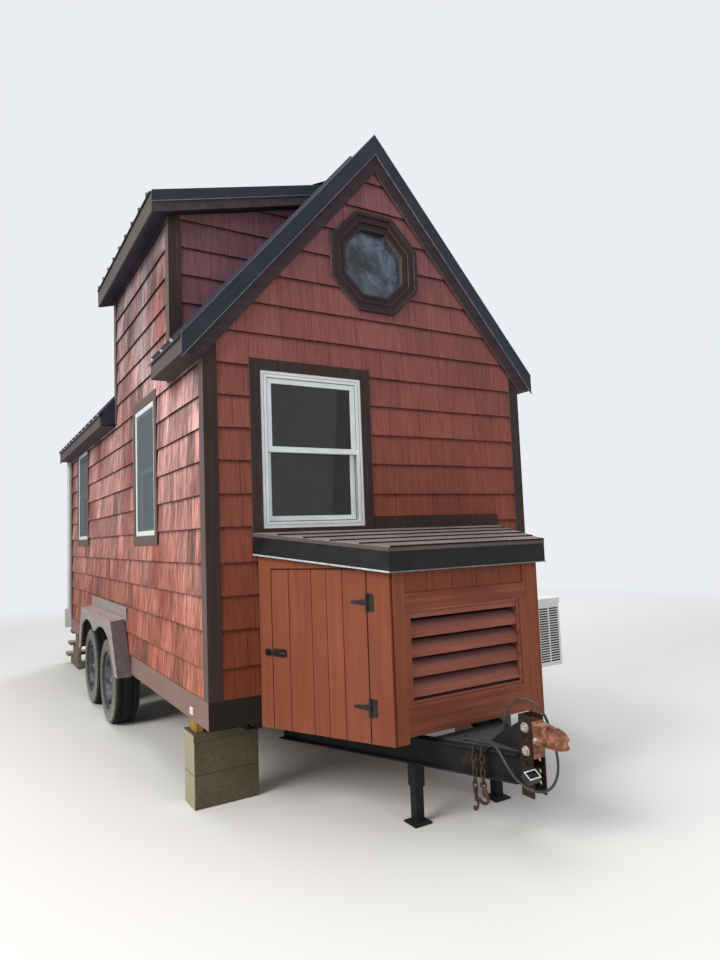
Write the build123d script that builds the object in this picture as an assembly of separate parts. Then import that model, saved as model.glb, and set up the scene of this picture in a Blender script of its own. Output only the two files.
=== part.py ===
"""Tiny house on a tandem-axle trailer, in millimetres.

The house frame used while modelling has x = 0 on the centreline, y = 0 on the
front face of the trim boards (y grows to the rear) and z = 0 on the ground.
The finished pieces are moved so that the origin is the bottom centre of the
whole object: +X right seen from the front, +Y to the rear, +Z up.
"""
from build123d import *
from math import atan2, cos, degrees, hypot, pi, radians, sin, tan
import os

# House body
body_width = 2440.0
body_length = 5400.0
trim_t = 20.0
wall_t = 115.0
skirt_bottom_z = 500.0
skirt_height = 150.0
floor_bottom_z = 600.0
floor_t = 80.0
rim_t = 40.0
corner_board_w = 85.0

# Main roof: the height of its lower edge, its slope and how far it reaches past the wall
eave_edge_z = 2691.25
roof_pitch = 49.0
roof_t = 150.0
eave_overhang = 135.0
soffit_drop = 101.25
soffit_t = 12.0
fascia_t = 20.0
drip_reach = 12.0
metal_t = 8.0
rib_pitch = 229.0
rib_height = 19.0
rib_base_w = 44.0
rib_top_w = 18.0
rake_metal_w = 88.0
rake_metal_t = 8.0
rake_board_t = 20.0
ridge_cap_w = 150.0
ridge_cap_t = 4.0

# Shed dormer on the left side
dormer_front_y = 690.0
dormer_rear_y = 2560.0
dormer_ridge_drop = 34.0
dormer_pitch = 15.4
dormer_roof_t = 145.0
dormer_rake_overhang = 50.0
dormer_metal_w = 75.0

# Windows: the front one's distance from the body's left side, width, height, and rise over the box roof
front_window_from_left = 700.0
front_window_w = 695.0
front_window_h = 946.0
front_window_rise = 25.0
window_setback = 5.0
# Side windows: centre along the wall, width, height, and gap under the soffit
side_window_front = (1450.0, 600.0, 970.0, 30.0)
side_window_rear_from_back = 950.0
side_window_rear = (640.0, 980.0, 10.0)
front_frame_w = 38.0
side_frame_w = 26.0
window_frame_depth = 90.0
sash_w = 34.0
sash_t = 28.0
sash_setback = 8.0
glass_t = 6.0
casing_w = 70.0
octagon_x = -20.0
octagon_ridge_drop = 900.0
octagon_trim_half = 340.0
octagon_frame_half = 272.0
octagon_glass_half = 222.0
flashing_t = 12.0
flashing_h = 90.0
flashing_reach = 60.0

# Entrance door in the rear wall
entry_from_left = 600.0
entry_w = 810.0
entry_h = 1930.0
entry_t = 45.0
entry_frame_w = 40.0
entry_stop = 14.0
entry_seat = 0.3
entry_gap = 3.0
entry_sill_gap = 6.0
entry_panel_edge = 130.0
entry_panel_h = 700.0
entry_panel_first = 180.0
entry_panel_pitch = 880.0
entry_panel_depth = 10.0
knob_height = 950.0
knob_inset = 70.0
knob_r = 26.0
knob_neck_r = 11.0
knob_reach = 45.0

# Rear steps
step_count = 3
step_run = 220.0
step_rise = 166.0
step_top_drop = 18.0
step_from_left = 20.0
step_width = 1050.0
tread_t = 38.0
stringer_t = 38.0
stringer_inset = 60.0
step_hanger_lap = 60.0

# Trailer frame
rail_depth = 150.0
rail_flange = 50.0
rail_web = 8.0
rail_inset = 240.0
cross_depth = 75.0
cross_flange = 40.0
cross_t = 6.0
cross_count = 9
outrigger_clear = 150.0
tongue_depth = 140.0
tongue_flange = 70.0
tongue_t = 9.0
tongue_angle = 24.2
tongue_tip_x = 33.0
tongue_end_y = 250.0
tongue_split = 2.0
tongue_plate_t = 8.0
tongue_plate_back_y = -700.0

# Hitch post: a channel open to the front, with gussets behind
post_back_y = -1150.0
post_half_w = 45.0
post_depth = 80.0
post_t = 9.0
post_bottom_z = 260.0
post_top_z = 640.0
gusset_t = 8.0
gusset_top = 147.0
gusset_shoulder = (140.0, 62.0)
gusset_foot = 220.0
hitch_bolt_inset = 35.0
hitch_bolt_d = 20.0
hitch_bolt_clearance = 0.5
hitch_bolt_head = 34.0
hitch_bolt_head_h = 13.0
hitch_nut_h = 16.0
hitch_bolt_zs = (475.0, 585.0)
hitch_hole_pitch = 55.0
hitch_hole_count = 6
hitch_holes_below = 3

# Coupler
coupler_play = 0.3
coupler_lap = 30.0
coupler_cheek_t = 9.0
coupler_back_t = 10.0
socket_r = 29.75
socket_wall = 10.0
socket_y = -1365.0
socket_mouth_z = 520.0
socket_depth = 44.0
neck_wall = 8.0
neck_shoulder_drop = 8.0
neck_nose_rise = 12.0
lip_w = 6.0
lip_h = 7.0
latch_w = 16.0
latch_t = 11.0
latch_pivot_back = 62.0
latch_nose = 16.0
latch_pin_r = 6.0
latch_pin_reach = 12.0

# Safety chains: a plate with two slots on the left tongue rail, each carrying links and a hook
chain_y = -960.0
chain_plate_t = 8.0
chain_plate_l = 100.0
chain_pitch = 44.0
chain_margin = 8.5
chain_reach = 22.0
chain_slot_w = 15.0
link_bar_r = 4.5
link_bar_sides = 6
link_inner_l = 34.0
link_inner_w = 13.0
chain_link_counts = (5, 6)
chain_seat = 0.3
hook_t = 9.0
hook_eye_r = 9.0
hook_eye_wall = 9.0
hook_bend_r = 30.0
hook_throat_r = 15.0
hook_drop = 66.0

# Trailer cable: from a gland on the deck over the left rail, round under the coupler and back over the post
cable_d = 13.0
cable_share = 0.45
cable_route = (
    (-122, -872, 466), (-110, -915, 466), (-104, -961, 470), (-106, -1009, 477), (-115, -1055, 478),
    (-125, -1095, 459), (-124, -1126, 422), (-113, -1150, 381), (-99, -1180, 344), (-81, -1217, 318),
    (-51, -1248, 302), (-8, -1267, 297), (38, -1270, 308), (78, -1262, 336), (106, -1250, 377),
    (117, -1238, 424), (115, -1228, 473), (107, -1220, 521), (98, -1213, 568), (88, -1202, 615),
    (73, -1182, 656), (52, -1152, 684), (30, -1114, 694), (13, -1074, 682), (4, -1040, 651),
    (1, -1016, 609), (0, -1001, 562), (0, -996, 517), (0, -996, 484))
gland_l = 26.0
gland_tip_r = 9.0
gland_r = 14.0
gland_flange_r = 18.0
gland_flange_t = 5.0

# Breakaway switch: a box on a plate beside the post, its open face tilted up and forward
switch_w = 74.0
switch_h = 49.0
switch_depth = 35.0
switch_wall = 5.0
switch_recess = 8.0
switch_tilt = 33.0
switch_z = 393.0
switch_plate_t = 4.0
switch_plate_l = 85.0
switch_plate_h = 52.0
switch_plate_z = 385.0

# Props and block cribs
prop_y = -600.0
prop_outer = 64.0
prop_inner = 51.0
prop_wall = 5.0
prop_play = 0.3
prop_cap_t = 12.0
prop_lap = 60.0
prop_split_z = 190.0
prop_foot = 110.0
prop_foot_t = 10.0
block_l = 397.0
block_w = 194.0
block_h = 190.0
block_gap = 0.5
block_web = 32.0
block_layers = 2
crib_reach = 5.0
crib_front_y = 265.0
crib_cap_t = 42.0
crib_cap_lap = 4.0
crib_shim_margin = 15.0
crib_shim_w = 150.0

# Wheels, axles and fenders
axle_from_back = 2400.0
axle_spacing = 870.0
tyre_r = 360.0
tyre_w = 222.0
tyre_reach = 82.0
tyre_shoulder = 34.0
tyre_side_soft = 5.0
tyre_groove_w = 10.0
tyre_groove_depth = 9.0
tyre_groove_xs = (-42.0, 42.0)
bead_inset = 34.0
bead_h = 14.0
rim_r = 218.0
rim_t_wall = 8.0
rim_flange_t = 6.0
disc_inset = 96.0
disc_t = 10.0
vent_r = 16.0
vent_count = 8
hub_r = 62.0
hub_cap_r = 34.0
hub_cap_reach = 58.0
hub_depth = 60.0
spindle_r = 19.0
spindle_reach = 40.0
bearing_gap = 0.05
axle_tube_r = 38.0
axle_z = 360.0
spring_half_w = 22.0
spring_leaf_t = 8.0
spring_halves = (120.0, 190.0, 260.0, 330.0)
spring_seat = 0.3
well_half_l = 850.0
well_inset = 190.0
well_top_z = 890.0
well_t = 12.0
fender_reach = 115.0
fender_t = 20.0
fender_top_z = 905.0
fender_top_drop = 12.0
fender_bottom_z = 485.0
fender_front_in = 40.0
fender_rear_in = 80.0
fender_splay = 270.0
fender_rear_splay = 162.0
fender_foot = 100.0
arch_crown = 90.0
arch_side = 175.0
arch_valley = 160.0
arch_valley_w = 200.0
arch_in = 60.0
arch_far = 360.0
upstand_top_z = 1010.0
upstand_front = 60.0
upstand_rear = 40.0

# Tongue box
box_front_y = -775.0
box_front_half = 520.0
box_back_half = 910.0
box_bottom_z = 475.0
box_panel_bottom_z = 505.0
box_board_t = 20.0
box_roof_back_z = 1571.0
box_roof_front_z = 1470.0
box_roof_overhang = 50.0
box_roof_front_side = 25.0
box_roof_side_overhang = 30.0
box_fascia_h = 128.0
box_fascia_t = 20.0
box_corner_w = 92.0
box_front_inset = 12.0
box_floor_gap = 2.0
box_door_top_z = 1358.0
box_door_start = 95.0
box_door_end = 727.0
box_grooves = (218.0, 375.0, 475.0, 580.0)
groove_w = 4.0
groove_depth = 5.0
door_gap = 6.0
hinge_axis_along = 733.0
hinge_axis_y = -7.5
hinge_knuckle_r = 7.0
hinge_pin_r = 3.0
pin_clearance = 0.05
hinge_plate_t = 3.0
hinge_strap_l = 100.0
hinge_strap_w = 32.0
hinge_strap_tip = 14.0
hinge_leaf_w = 40.0
hinge_leaf_h = 90.0
hinge_part = 2.0
hinge_zs = (655.0, 1188.0)
latch_z = 895.0
latch_plate = (8.0, 95.0, 22.0, 4.0)
bolt_r = 8.0
bolt_axis_y = -12.0
bolt_span = (5.0, 101.0)
bolt_saddle = (15.0, 85.0, 6.0)
bolt_handle = (55.0, 22.0, 5.0)
keeper_plate = (55.0, 11.0, 18.0)
keeper_bow = (39.0, 25.0, 14.0, 20.0)
louvre_x = -14.0
louvre_w = 775.0
louvre_bottom_z = 664.0
louvre_h = 479.0
louvre_slats = 5
louvre_pitch = 101.0
louvre_first_lip = 47.0
louvre_jamb_t = 14.0
louvre_depth = 74.0
slat_t = 11.0
slat_setback = 8.0
slat_run = 58.0
slat_rise = 84.0

# Air conditioner on the right side
ac_gap = 125.0
ac_depth = 235.0
ac_front_y = 50.0
ac_length = 660.0
ac_bottom_z = 495.0
ac_height = 505.0
ac_lid_h = 40.0
ac_lid_lap = 4.0
ac_slot_h = 9.0
ac_slot_pitch = 18.6
ac_slot_count = 22
ac_slot_depth = 6.0
ac_slot_margin = 20.0
ac_slot_rib = 14.0
ac_fan_r = 195.0
ac_fan_y = 270.0
ac_fan_recess = 24.0
ac_fan_bar = 8.0
ac_fan_bar_count = 11
ac_arm_w = 40.0
ac_arm_t = 30.0
ac_arm_front = 110.0
ac_arm_rear = 150.0
ac_arm_short = 20.0
ac_leg_h = 380.0

# White pipe at the rear left corner
pipe_reach = 18.0
pipe_r = 24.0
pipe_wall_gap = 2.0
pipe_box = (95.0, 80.0, 225.0)
pipe_box_bottom_z = 530.0

# Worked out from the driving dimensions
half_width = body_width / 2
wall_out_x = half_width - trim_t
wall_in_x = wall_out_x - wall_t
wall_front_y = trim_t
wall_rear_y = body_length - trim_t
room_front_y = wall_front_y + wall_t
room_rear_y = wall_rear_y - wall_t
floor_top_z = floor_bottom_z + floor_t
skirt_top_z = skirt_bottom_z + skirt_height
pitch_rise = tan(radians(roof_pitch))
roof_drop = roof_t / cos(radians(roof_pitch))
eave_x = half_width + eave_overhang
fascia_x = eave_x - drip_reach
ridge_z = eave_edge_z + eave_x * pitch_rise
soffit_z = eave_edge_z - soffit_drop
dormer_rise = tan(radians(dormer_pitch))
dormer_drop = dormer_roof_t / cos(radians(dormer_pitch))
dormer_eave_z = ridge_z - dormer_ridge_drop - eave_x * dormer_rise
front_window = (front_window_from_left - half_width, front_window_w, box_roof_back_z + front_window_rise,
                front_window_h)
side_windows = tuple(
    (centre, width, soffit_z - gap - height, height) for centre, width, height, gap in
    (side_window_front, (body_length - side_window_rear_from_back, *side_window_rear)))
octagon_z = ridge_z - octagon_ridge_drop
entry_x = entry_from_left - half_width
step_left_x = step_from_left - half_width
rail_x = half_width - rail_inset
rail_top_z = floor_bottom_z
rail_bottom_z = rail_top_z - rail_depth
tongue_top_z = rail_bottom_z
tongue_bottom_z = tongue_top_z - tongue_depth
tongue_deck_z = tongue_top_z + tongue_plate_t
dormer_roof_front_y = dormer_front_y - dormer_rake_overhang
dormer_roof_rear_y = dormer_rear_y + dormer_rake_overhang
dormer_out_front_y = dormer_roof_front_y - trim_t - rake_metal_t
dormer_out_rear_y = dormer_roof_rear_y + trim_t + rake_metal_t
post_front_y = post_back_y - post_depth
hitch_bolt_y = post_front_y + hitch_bolt_inset
hitch_hole_r = hitch_bolt_d / 2 + hitch_bolt_clearance
crib_outer_x = half_width + crib_reach
axle_centre_y = body_length - axle_from_back
wheel_ys = (axle_centre_y - axle_spacing / 2, axle_centre_y + axle_spacing / 2)
tyre_outer_x = half_width + tyre_reach
wheel_x = tyre_outer_x - tyre_w / 2
well_front_y = axle_centre_y - well_half_l
well_rear_y = axle_centre_y + well_half_l
well_inner_x = half_width - well_inset
fender_outer_x = half_width + fender_reach
fender_front_y = well_front_y + fender_front_in
fender_rear_y = well_rear_y - fender_rear_in
ac_inner_x = half_width + ac_gap
pipe_x = -half_width - pipe_reach
far = 20000.0


def block(x0, x1, y0, y1, z0, z1):
    """A box between three pairs of limits."""
    centre = Pos((x0 + x1) / 2, (y0 + y1) / 2, (z0 + z1) / 2)
    return centre * Box(abs(x1 - x0), abs(y1 - y0), abs(z1 - z0))


def polygon_face(points):
    """A flat face through 3-D points."""
    return Face(Wire.make_polygon([Vector(*p) for p in points], close=True))


def prism_xz(points, y0, y1):
    """An outline in x and z, from y0 to y1."""
    return Solid.extrude(polygon_face([(x, y0, z) for x, z in points]), Vector(0, y1 - y0, 0))


def prism_yz(points, x0, x1):
    """An outline in y and z, from x0 to x1."""
    return Solid.extrude(polygon_face([(x0, y, z) for y, z in points]), Vector(x1 - x0, 0, 0))


def prism_xy(points, z0, z1):
    """An outline in x and y, from z0 to z1."""
    return Solid.extrude(polygon_face([(x, y, z0) for x, y in points]), Vector(0, 0, z1 - z0))


def rod(start, end, radius):
    """A round bar between two points."""
    a, b = Vector(*start), Vector(*end)
    return Plane(origin=a, z_dir=b - a) * Cylinder(
        radius, (b - a).length, align=(Align.CENTER, Align.CENTER, Align.MIN))


def mirrored_x(shape):
    """The same shape on the other side of the centreline."""
    return mirror(shape, about=Plane.YZ)


def both_sides(shape):
    return [shape, mirrored_x(shape)]


def roof_top(x):
    """Height of the main roof's pans at a distance from the centreline."""
    return ridge_z - abs(x) * pitch_rise


def roof_under(x):
    return roof_top(x) - roof_drop


def dormer_top(x):
    """Height of the dormer roof's pans; x is negative there."""
    return dormer_eave_z + (x + eave_x) * dormer_rise


def dormer_under(x):
    return dormer_top(x) - dormer_drop


def ribs(slope_top, x_high, x_low, y0, y1):
    """Standing ribs, evenly spaced, running down a slope given by its height function."""
    count = int((y1 - y0 - rib_base_w) // rib_pitch)
    start = (y0 + y1) / 2 - count * rib_pitch / 2
    a = Vector(x_high, 0, slope_top(x_high))
    b = Vector(x_low, 0, slope_top(x_low))
    normal = Vector(0, 1, 0).cross(b - a).normalized()
    normal = normal if normal.Z > 0 else -normal
    solids = []
    for i in range(count + 1):
        y = start + i * rib_pitch
        profile = [a + Vector(0, y + s * rib_base_w / 2, 0) for s in (-1, 1)]
        profile += [a + Vector(0, y + s * rib_top_w / 2, 0) + normal * rib_height for s in (1, -1)]
        face = Face(Wire.make_polygon(profile, close=True))
        solids.append(Solid.extrude(face, b - a))
    return solids


def main_roof_panel(side, y0, y1):
    """One slope of the main roof: framed deck, metal pans and ribs."""
    s = side
    flat_z = soffit_z + soffit_t
    x_flat = (ridge_z - roof_drop - flat_z) / pitch_rise
    deck_x = fascia_x - fascia_t
    deck = [(0, roof_top(0)), (s * deck_x, roof_top(deck_x)), (s * deck_x, flat_z), (s * x_flat, flat_z),
            (0, roof_under(0))]
    body = prism_xz(deck, y0, y1)
    sheet_drop = metal_t / cos(radians(roof_pitch))
    x_mid = deck_x / 2
    sheet = [(s * x_mid, roof_top(x_mid)), (s * eave_x, roof_top(eave_x)),
             (s * eave_x, roof_top(eave_x) - sheet_drop), (s * x_mid, roof_top(x_mid) - sheet_drop)]
    rib_high = ridge_cap_w * cos(radians(roof_pitch))
    rib_list = ribs(roof_top, s * rib_high, s * eave_x, y0, y1)
    return body.fuse(prism_xz(sheet, y0, y1), *rib_list)


def build_roof():
    nodes = {}
    nodes["roof_right"] = main_roof_panel(1, 0, body_length)
    x0 = -(fascia_x - fascia_t)
    deck = [(0, dormer_top(0)), (x0, dormer_top(x0)), (x0, dormer_under(x0)), (0, dormer_under(0))]
    body = prism_xz(deck, dormer_roof_front_y, dormer_roof_rear_y)
    under_main = [(0, ridge_z), (-fascia_x, roof_top(fascia_x)), (-fascia_x, 0), (0, 0)]
    body = body.cut(prism_xz(under_main, 0, dormer_front_y + trim_t))
    body = body.cut(prism_xz(under_main, dormer_rear_y - trim_t, body_length))
    sheet_drop = metal_t / cos(radians(dormer_pitch))
    sheet = [(x0 * 0.5, dormer_top(x0 * 0.5)), (-eave_x, dormer_top(-eave_x)),
             (-eave_x, dormer_top(-eave_x) - sheet_drop), (x0 * 0.5, dormer_top(x0 * 0.5) - sheet_drop)]
    rib_list = ribs(dormer_top, -ridge_cap_w, -eave_x, dormer_roof_front_y, dormer_roof_rear_y)
    dormer = body.fuse(prism_xz(sheet, dormer_roof_front_y, dormer_roof_rear_y), *rib_list)
    nodes["dormer_roof"] = dormer
    trim, metals = build_dormer_trim()
    nodes["dormer_trim"] = trim
    nodes["dormer_metal"] = metals
    spans = ((0, dormer_front_y + trim_t), (dormer_rear_y - trim_t, body_length))
    nodes["roof_left"] = [main_roof_panel(-1, y0, y1).cut(dormer, trim, *metals) for y0, y1 in spans]
    nodes["ridge_cap"] = ridge_cap()
    return nodes


def ridge_cap():
    """Folded cap over the ridge; its left leg lies on the dormer roof where that meets the ridge."""
    reach = ridge_cap_w * cos(radians(roof_pitch))
    lift = ridge_cap_t / cos(radians(roof_pitch))

    def leg(side, y0, y1):
        outline = [(0, ridge_z), (side * reach, roof_top(reach)), (side * reach, roof_top(reach) + lift),
                   (0, ridge_z + lift)]
        return prism_xz(outline, y0, y1)

    y_front, y_rear = -rake_board_t - rake_metal_t, body_length + rake_board_t + rake_metal_t
    left_legs = leg(-1, y_front, dormer_out_front_y), leg(-1, dormer_out_rear_y, y_rear)
    cap = leg(1, y_front, y_rear).fuse(*left_legs)
    dormer_leg = [(0, ridge_z), (0, ridge_z + lift), (-ridge_cap_w, dormer_top(-ridge_cap_w) + ridge_cap_t),
                  (-ridge_cap_w, dormer_top(-ridge_cap_w))]
    return cap.fuse(prism_xz(dormer_leg, dormer_out_front_y, dormer_out_rear_y))


def gable_outline():
    """Front or rear wall from the floor to the underside of the roof."""
    return [(-wall_out_x, floor_top_z), (wall_out_x, floor_top_z), (wall_out_x, roof_under(wall_out_x)),
            (0, roof_under(0)), (-wall_out_x, roof_under(wall_out_x))]


def octagon(half):
    """Outline of a regular octagon with flat sides up and down, given its half width."""
    reach = half / cos(radians(22.5))
    angles = [radians(45 * i - 22.5) for i in range(8)]
    return [(octagon_x + reach * cos(a), octagon_z + reach * sin(a)) for a in angles]


def build_walls():
    nodes = {}
    wx, ww, wz, wh = front_window
    front = prism_xz(gable_outline(), wall_front_y, room_front_y)
    front = front.cut(block(wx - ww / 2, wx + ww / 2, 0, 2 * wall_t, wz, wz + wh))
    front = front.cut(prism_xz(octagon(octagon_frame_half), 0, 2 * wall_t))
    rear = prism_xz(gable_outline(), room_rear_y, wall_rear_y)
    reach = entry_w / 2 + entry_frame_w
    door = block(entry_x - reach, entry_x + reach, room_rear_y - 1, wall_rear_y + 1, floor_top_z,
                 floor_top_z + entry_h + entry_frame_w)
    nodes["end_walls"] = [front, rear.cut(door)]
    nodes["side_walls"] = []
    for s in (-1, 1):
        outline = [(s * wall_out_x, floor_top_z), (s * wall_in_x, floor_top_z),
                   (s * wall_in_x, roof_under(wall_in_x)), (s * wall_out_x, roof_under(wall_out_x))]
        wall = prism_xz(outline, room_front_y, room_rear_y)
        x0, x1 = s * (wall_in_x - 1), s * (wall_out_x + 1)
        for cy, w, z, h in side_windows:
            wall = wall.cut(block(x0, x1, cy - w / 2, cy + w / 2, z, z + h))
        well = block(x0, x1, well_front_y, well_rear_y, 0, well_top_z)
        nodes["side_walls"].append(wall.cut(well))
    cheek = [(-wall_out_x, roof_under(wall_out_x)), (0, roof_under(0)), (0, dormer_under(0)),
             (-wall_out_x, dormer_under(-wall_out_x))]
    front_cheek = prism_xz(cheek, dormer_front_y + trim_t, dormer_front_y + trim_t + wall_t)
    rear_cheek = prism_xz(cheek, dormer_rear_y - trim_t - wall_t, dormer_rear_y - trim_t)
    outline = [(-wall_out_x, roof_under(wall_out_x)), (-wall_in_x, roof_under(wall_in_x)),
               (-wall_in_x, dormer_under(-wall_in_x)), (-wall_out_x, dormer_under(-wall_out_x))]
    between = prism_xz(outline, dormer_front_y + trim_t + wall_t, dormer_rear_y - trim_t - wall_t)
    nodes["dormer_walls"] = between.fuse(front_cheek, rear_cheek)
    nodes["floor"] = build_floor()
    return nodes


def build_floor():
    """Deck with a rim board all round, cut away over the wheels."""
    deck = block(-wall_out_x, wall_out_x, wall_front_y, wall_rear_y, skirt_bottom_z, floor_top_z)
    hollow = block(-wall_out_x + rim_t, wall_out_x - rim_t, wall_front_y + rim_t, wall_rear_y - rim_t, 0,
                   floor_bottom_z)
    deck = deck.cut(hollow)
    for s in (-1, 1):
        deck = deck.cut(block(s * well_inner_x, s * (wall_out_x + rim_t), well_front_y, well_rear_y, 0, far))
    return deck


def rake_outline(side, low, high):
    """A band along the gable, measured square to the slope from the roof's top plane."""
    drop_low = low / cos(radians(roof_pitch))
    drop_high = high / cos(radians(roof_pitch))
    return [(0, ridge_z - drop_low), (side * fascia_x, roof_top(fascia_x) - drop_low),
            (side * fascia_x, roof_top(fascia_x) - drop_high), (0, ridge_z - drop_high)]


def build_roof_trim():
    nodes = {}
    boards, metals = [], []
    brown_w = roof_t + fascia_t
    for y0, y1, m0, m1 in ((-rake_board_t, 0, -rake_board_t - rake_metal_t, -rake_board_t),
                           (body_length, body_length + rake_board_t, body_length + rake_board_t,
                            body_length + rake_board_t + rake_metal_t)):
        pair = [prism_xz(rake_outline(s, 0, brown_w), y0, y1) for s in (-1, 1)]
        board = pair[0].fuse(pair[1]).cut(block(-far, far, y0 - 1, y1 + 1, 0, soffit_z))
        boards.append(board)
        pair = [prism_xz(rake_outline(s, 0, rake_metal_w), m0, m1) for s in (-1, 1)]
        metals.append(pair[0].fuse(pair[1]))
    nodes["rake_boards"] = boards
    eaves = []
    spans = ((1, 0, body_length), (-1, 0, dormer_front_y), (-1, dormer_rear_y, body_length))
    sheet_drop = metal_t / cos(radians(roof_pitch))
    for s, y0, y1 in spans:
        in_x, out_x = fascia_x - fascia_t, fascia_x
        fascia = [(s * in_x, soffit_z), (s * out_x, soffit_z), (s * out_x, roof_top(out_x) - sheet_drop),
                  (s * in_x, roof_top(in_x) - sheet_drop)]
        soffit = block(s * wall_out_x, s * in_x, y0, y1, soffit_z, soffit_z + soffit_t)
        eaves.append(prism_xz(fascia, y0, y1).fuse(soffit))
    nodes["eave_boards"] = eaves
    return nodes, metals


def build_dormer_trim():
    """Brown board and metal cap round the dormer roof's front, left and rear edges."""
    sheet_drop = metal_t / cos(radians(dormer_pitch))
    x_in, x_out = -(fascia_x - fascia_t), -fascia_x
    eave = [(x_in, dormer_under(x_in)), (x_out, dormer_under(x_in)), (x_out, dormer_top(x_out) - sheet_drop),
            (x_in, dormer_top(x_in) - sheet_drop)]
    trim = prism_xz(eave, dormer_roof_front_y - trim_t, dormer_roof_rear_y + trim_t)
    metal_drop = dormer_metal_w / cos(radians(dormer_pitch))
    under_main = [(0, ridge_z), (-eave_x, roof_top(eave_x)), (0, roof_top(eave_x))]
    metals = []
    for s, y in ((-1, dormer_roof_front_y), (1, dormer_roof_rear_y)):
        rake = [(0, dormer_top(0)), (x_in, dormer_top(x_in)), (x_in, dormer_under(x_in)),
                (0, dormer_under(0))]
        y0, y1 = sorted((y, y + s * trim_t))
        trim = trim.fuse(prism_xz(rake, y0, y1).cut(prism_xz(under_main, y0 - 1, y1 + 1)))
        cap = [(0, dormer_top(0)), (x_out, dormer_top(x_out)), (x_out, dormer_top(x_out) - metal_drop),
               (0, dormer_top(0) - metal_drop)]
        y0, y1 = sorted((y + s * trim_t, y + s * (trim_t + rake_metal_t)))
        metals.append(prism_xz(cap, y0, y1).cut(prism_xz(under_main, y0 - 1, y1 + 1)))
    return trim, metals


def build_boards():
    """Corner boards, skirt boards and the boards at the dormer's corners."""
    z0, half, w, t = skirt_top_z, half_width, corner_board_w, trim_t
    corners = []
    for sx in (-1, 1):
        outline = [(sx * half, z0), (sx * half, soffit_z), (sx * wall_out_x, soffit_z),
                   (sx * wall_out_x, roof_under(wall_out_x)), (sx * (half - w), roof_under(half - w)),
                   (sx * (half - w), z0)]
        for y_face, sy in ((0, 1), (body_length, -1)):
            face = prism_xz(outline, y_face, y_face + sy * t)
            side = block(sx * wall_out_x, sx * half, y_face + sy * t, y_face + sy * w, z0, soffit_z)
            corners.append(face.fuse(side))
    for y_face, sy in ((dormer_front_y, 1), (dormer_rear_y, -1)):
        side = block(-half, -wall_out_x, y_face, y_face + sy * w, soffit_z + soffit_t, dormer_under(-half))
        outline = [(-wall_out_x, roof_top(wall_out_x)), (w - half, roof_top(half - w)),
                   (w - half, dormer_under(w - half)), (-wall_out_x, dormer_under(-wall_out_x))]
        y0, y1 = sorted((y_face, y_face + sy * t))
        below_roof = [(0, ridge_z), (-fascia_x, roof_top(fascia_x)), (-fascia_x, soffit_z), (0, soffit_z)]
        side = side.cut(prism_xz(below_roof, y_face - sy, y_face + sy * t))
        corners.append(side.fuse(prism_xz(outline, y0, y1)))
    front = block(-half, half, 0, t, skirt_bottom_z, z0)
    rear = block(-half, half, body_length - t, body_length, skirt_bottom_z, z0)
    for s in (-1, 1):
        front = front.fuse(block(s * wall_out_x, s * half, t, fender_front_y - fender_splay + fender_t,
                                 skirt_bottom_z, z0))
        rear = rear.fuse(block(s * wall_out_x, s * half, fender_rear_y + fender_rear_splay, body_length - t,
                               skirt_bottom_z, z0))
    return {"corner_boards": corners, "skirt_boards": [front, rear]}


def sash_window(width, height, frame_w):
    """A double-hung window in its own frame: x across, y inwards from the outer face, z up from the sill."""
    fw, d = frame_w, window_frame_depth
    frame = block(-width / 2, width / 2, 0, d, 0, height).cut(
        block(-width / 2 + fw, width / 2 - fw, -1, d + 1, fw, height - fw))
    iw, middle = width / 2 - fw, height / 2
    glass = []
    parts = [frame]
    for z0, z1, depth in ((middle - sash_w / 2, height - fw, sash_setback),
                          (fw, middle + sash_w / 2, sash_setback + sash_t)):
        sash = block(-iw, iw, depth, depth + sash_t, z0, z1)
        x1, za, zb = iw - sash_w, z0 + sash_w, z1 - sash_w
        parts.append(sash.cut(block(-x1, x1, -1, d, za, zb)))
        y_mid = depth + sash_t / 2
        glass.append(block(-x1, x1, y_mid - glass_t / 2, y_mid + glass_t / 2, za, zb))
    return parts[0].fuse(*parts[1:]), glass


def casing(width, height):
    """Flat boards round a window, outside the opening: same axes as the window."""
    w = casing_w
    outer = block(-width / 2 - w, width / 2 + w, -trim_t, 0, -w, height + w)
    return outer.cut(block(-width / 2, width / 2, -trim_t - 1, 1, 0, height))


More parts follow.
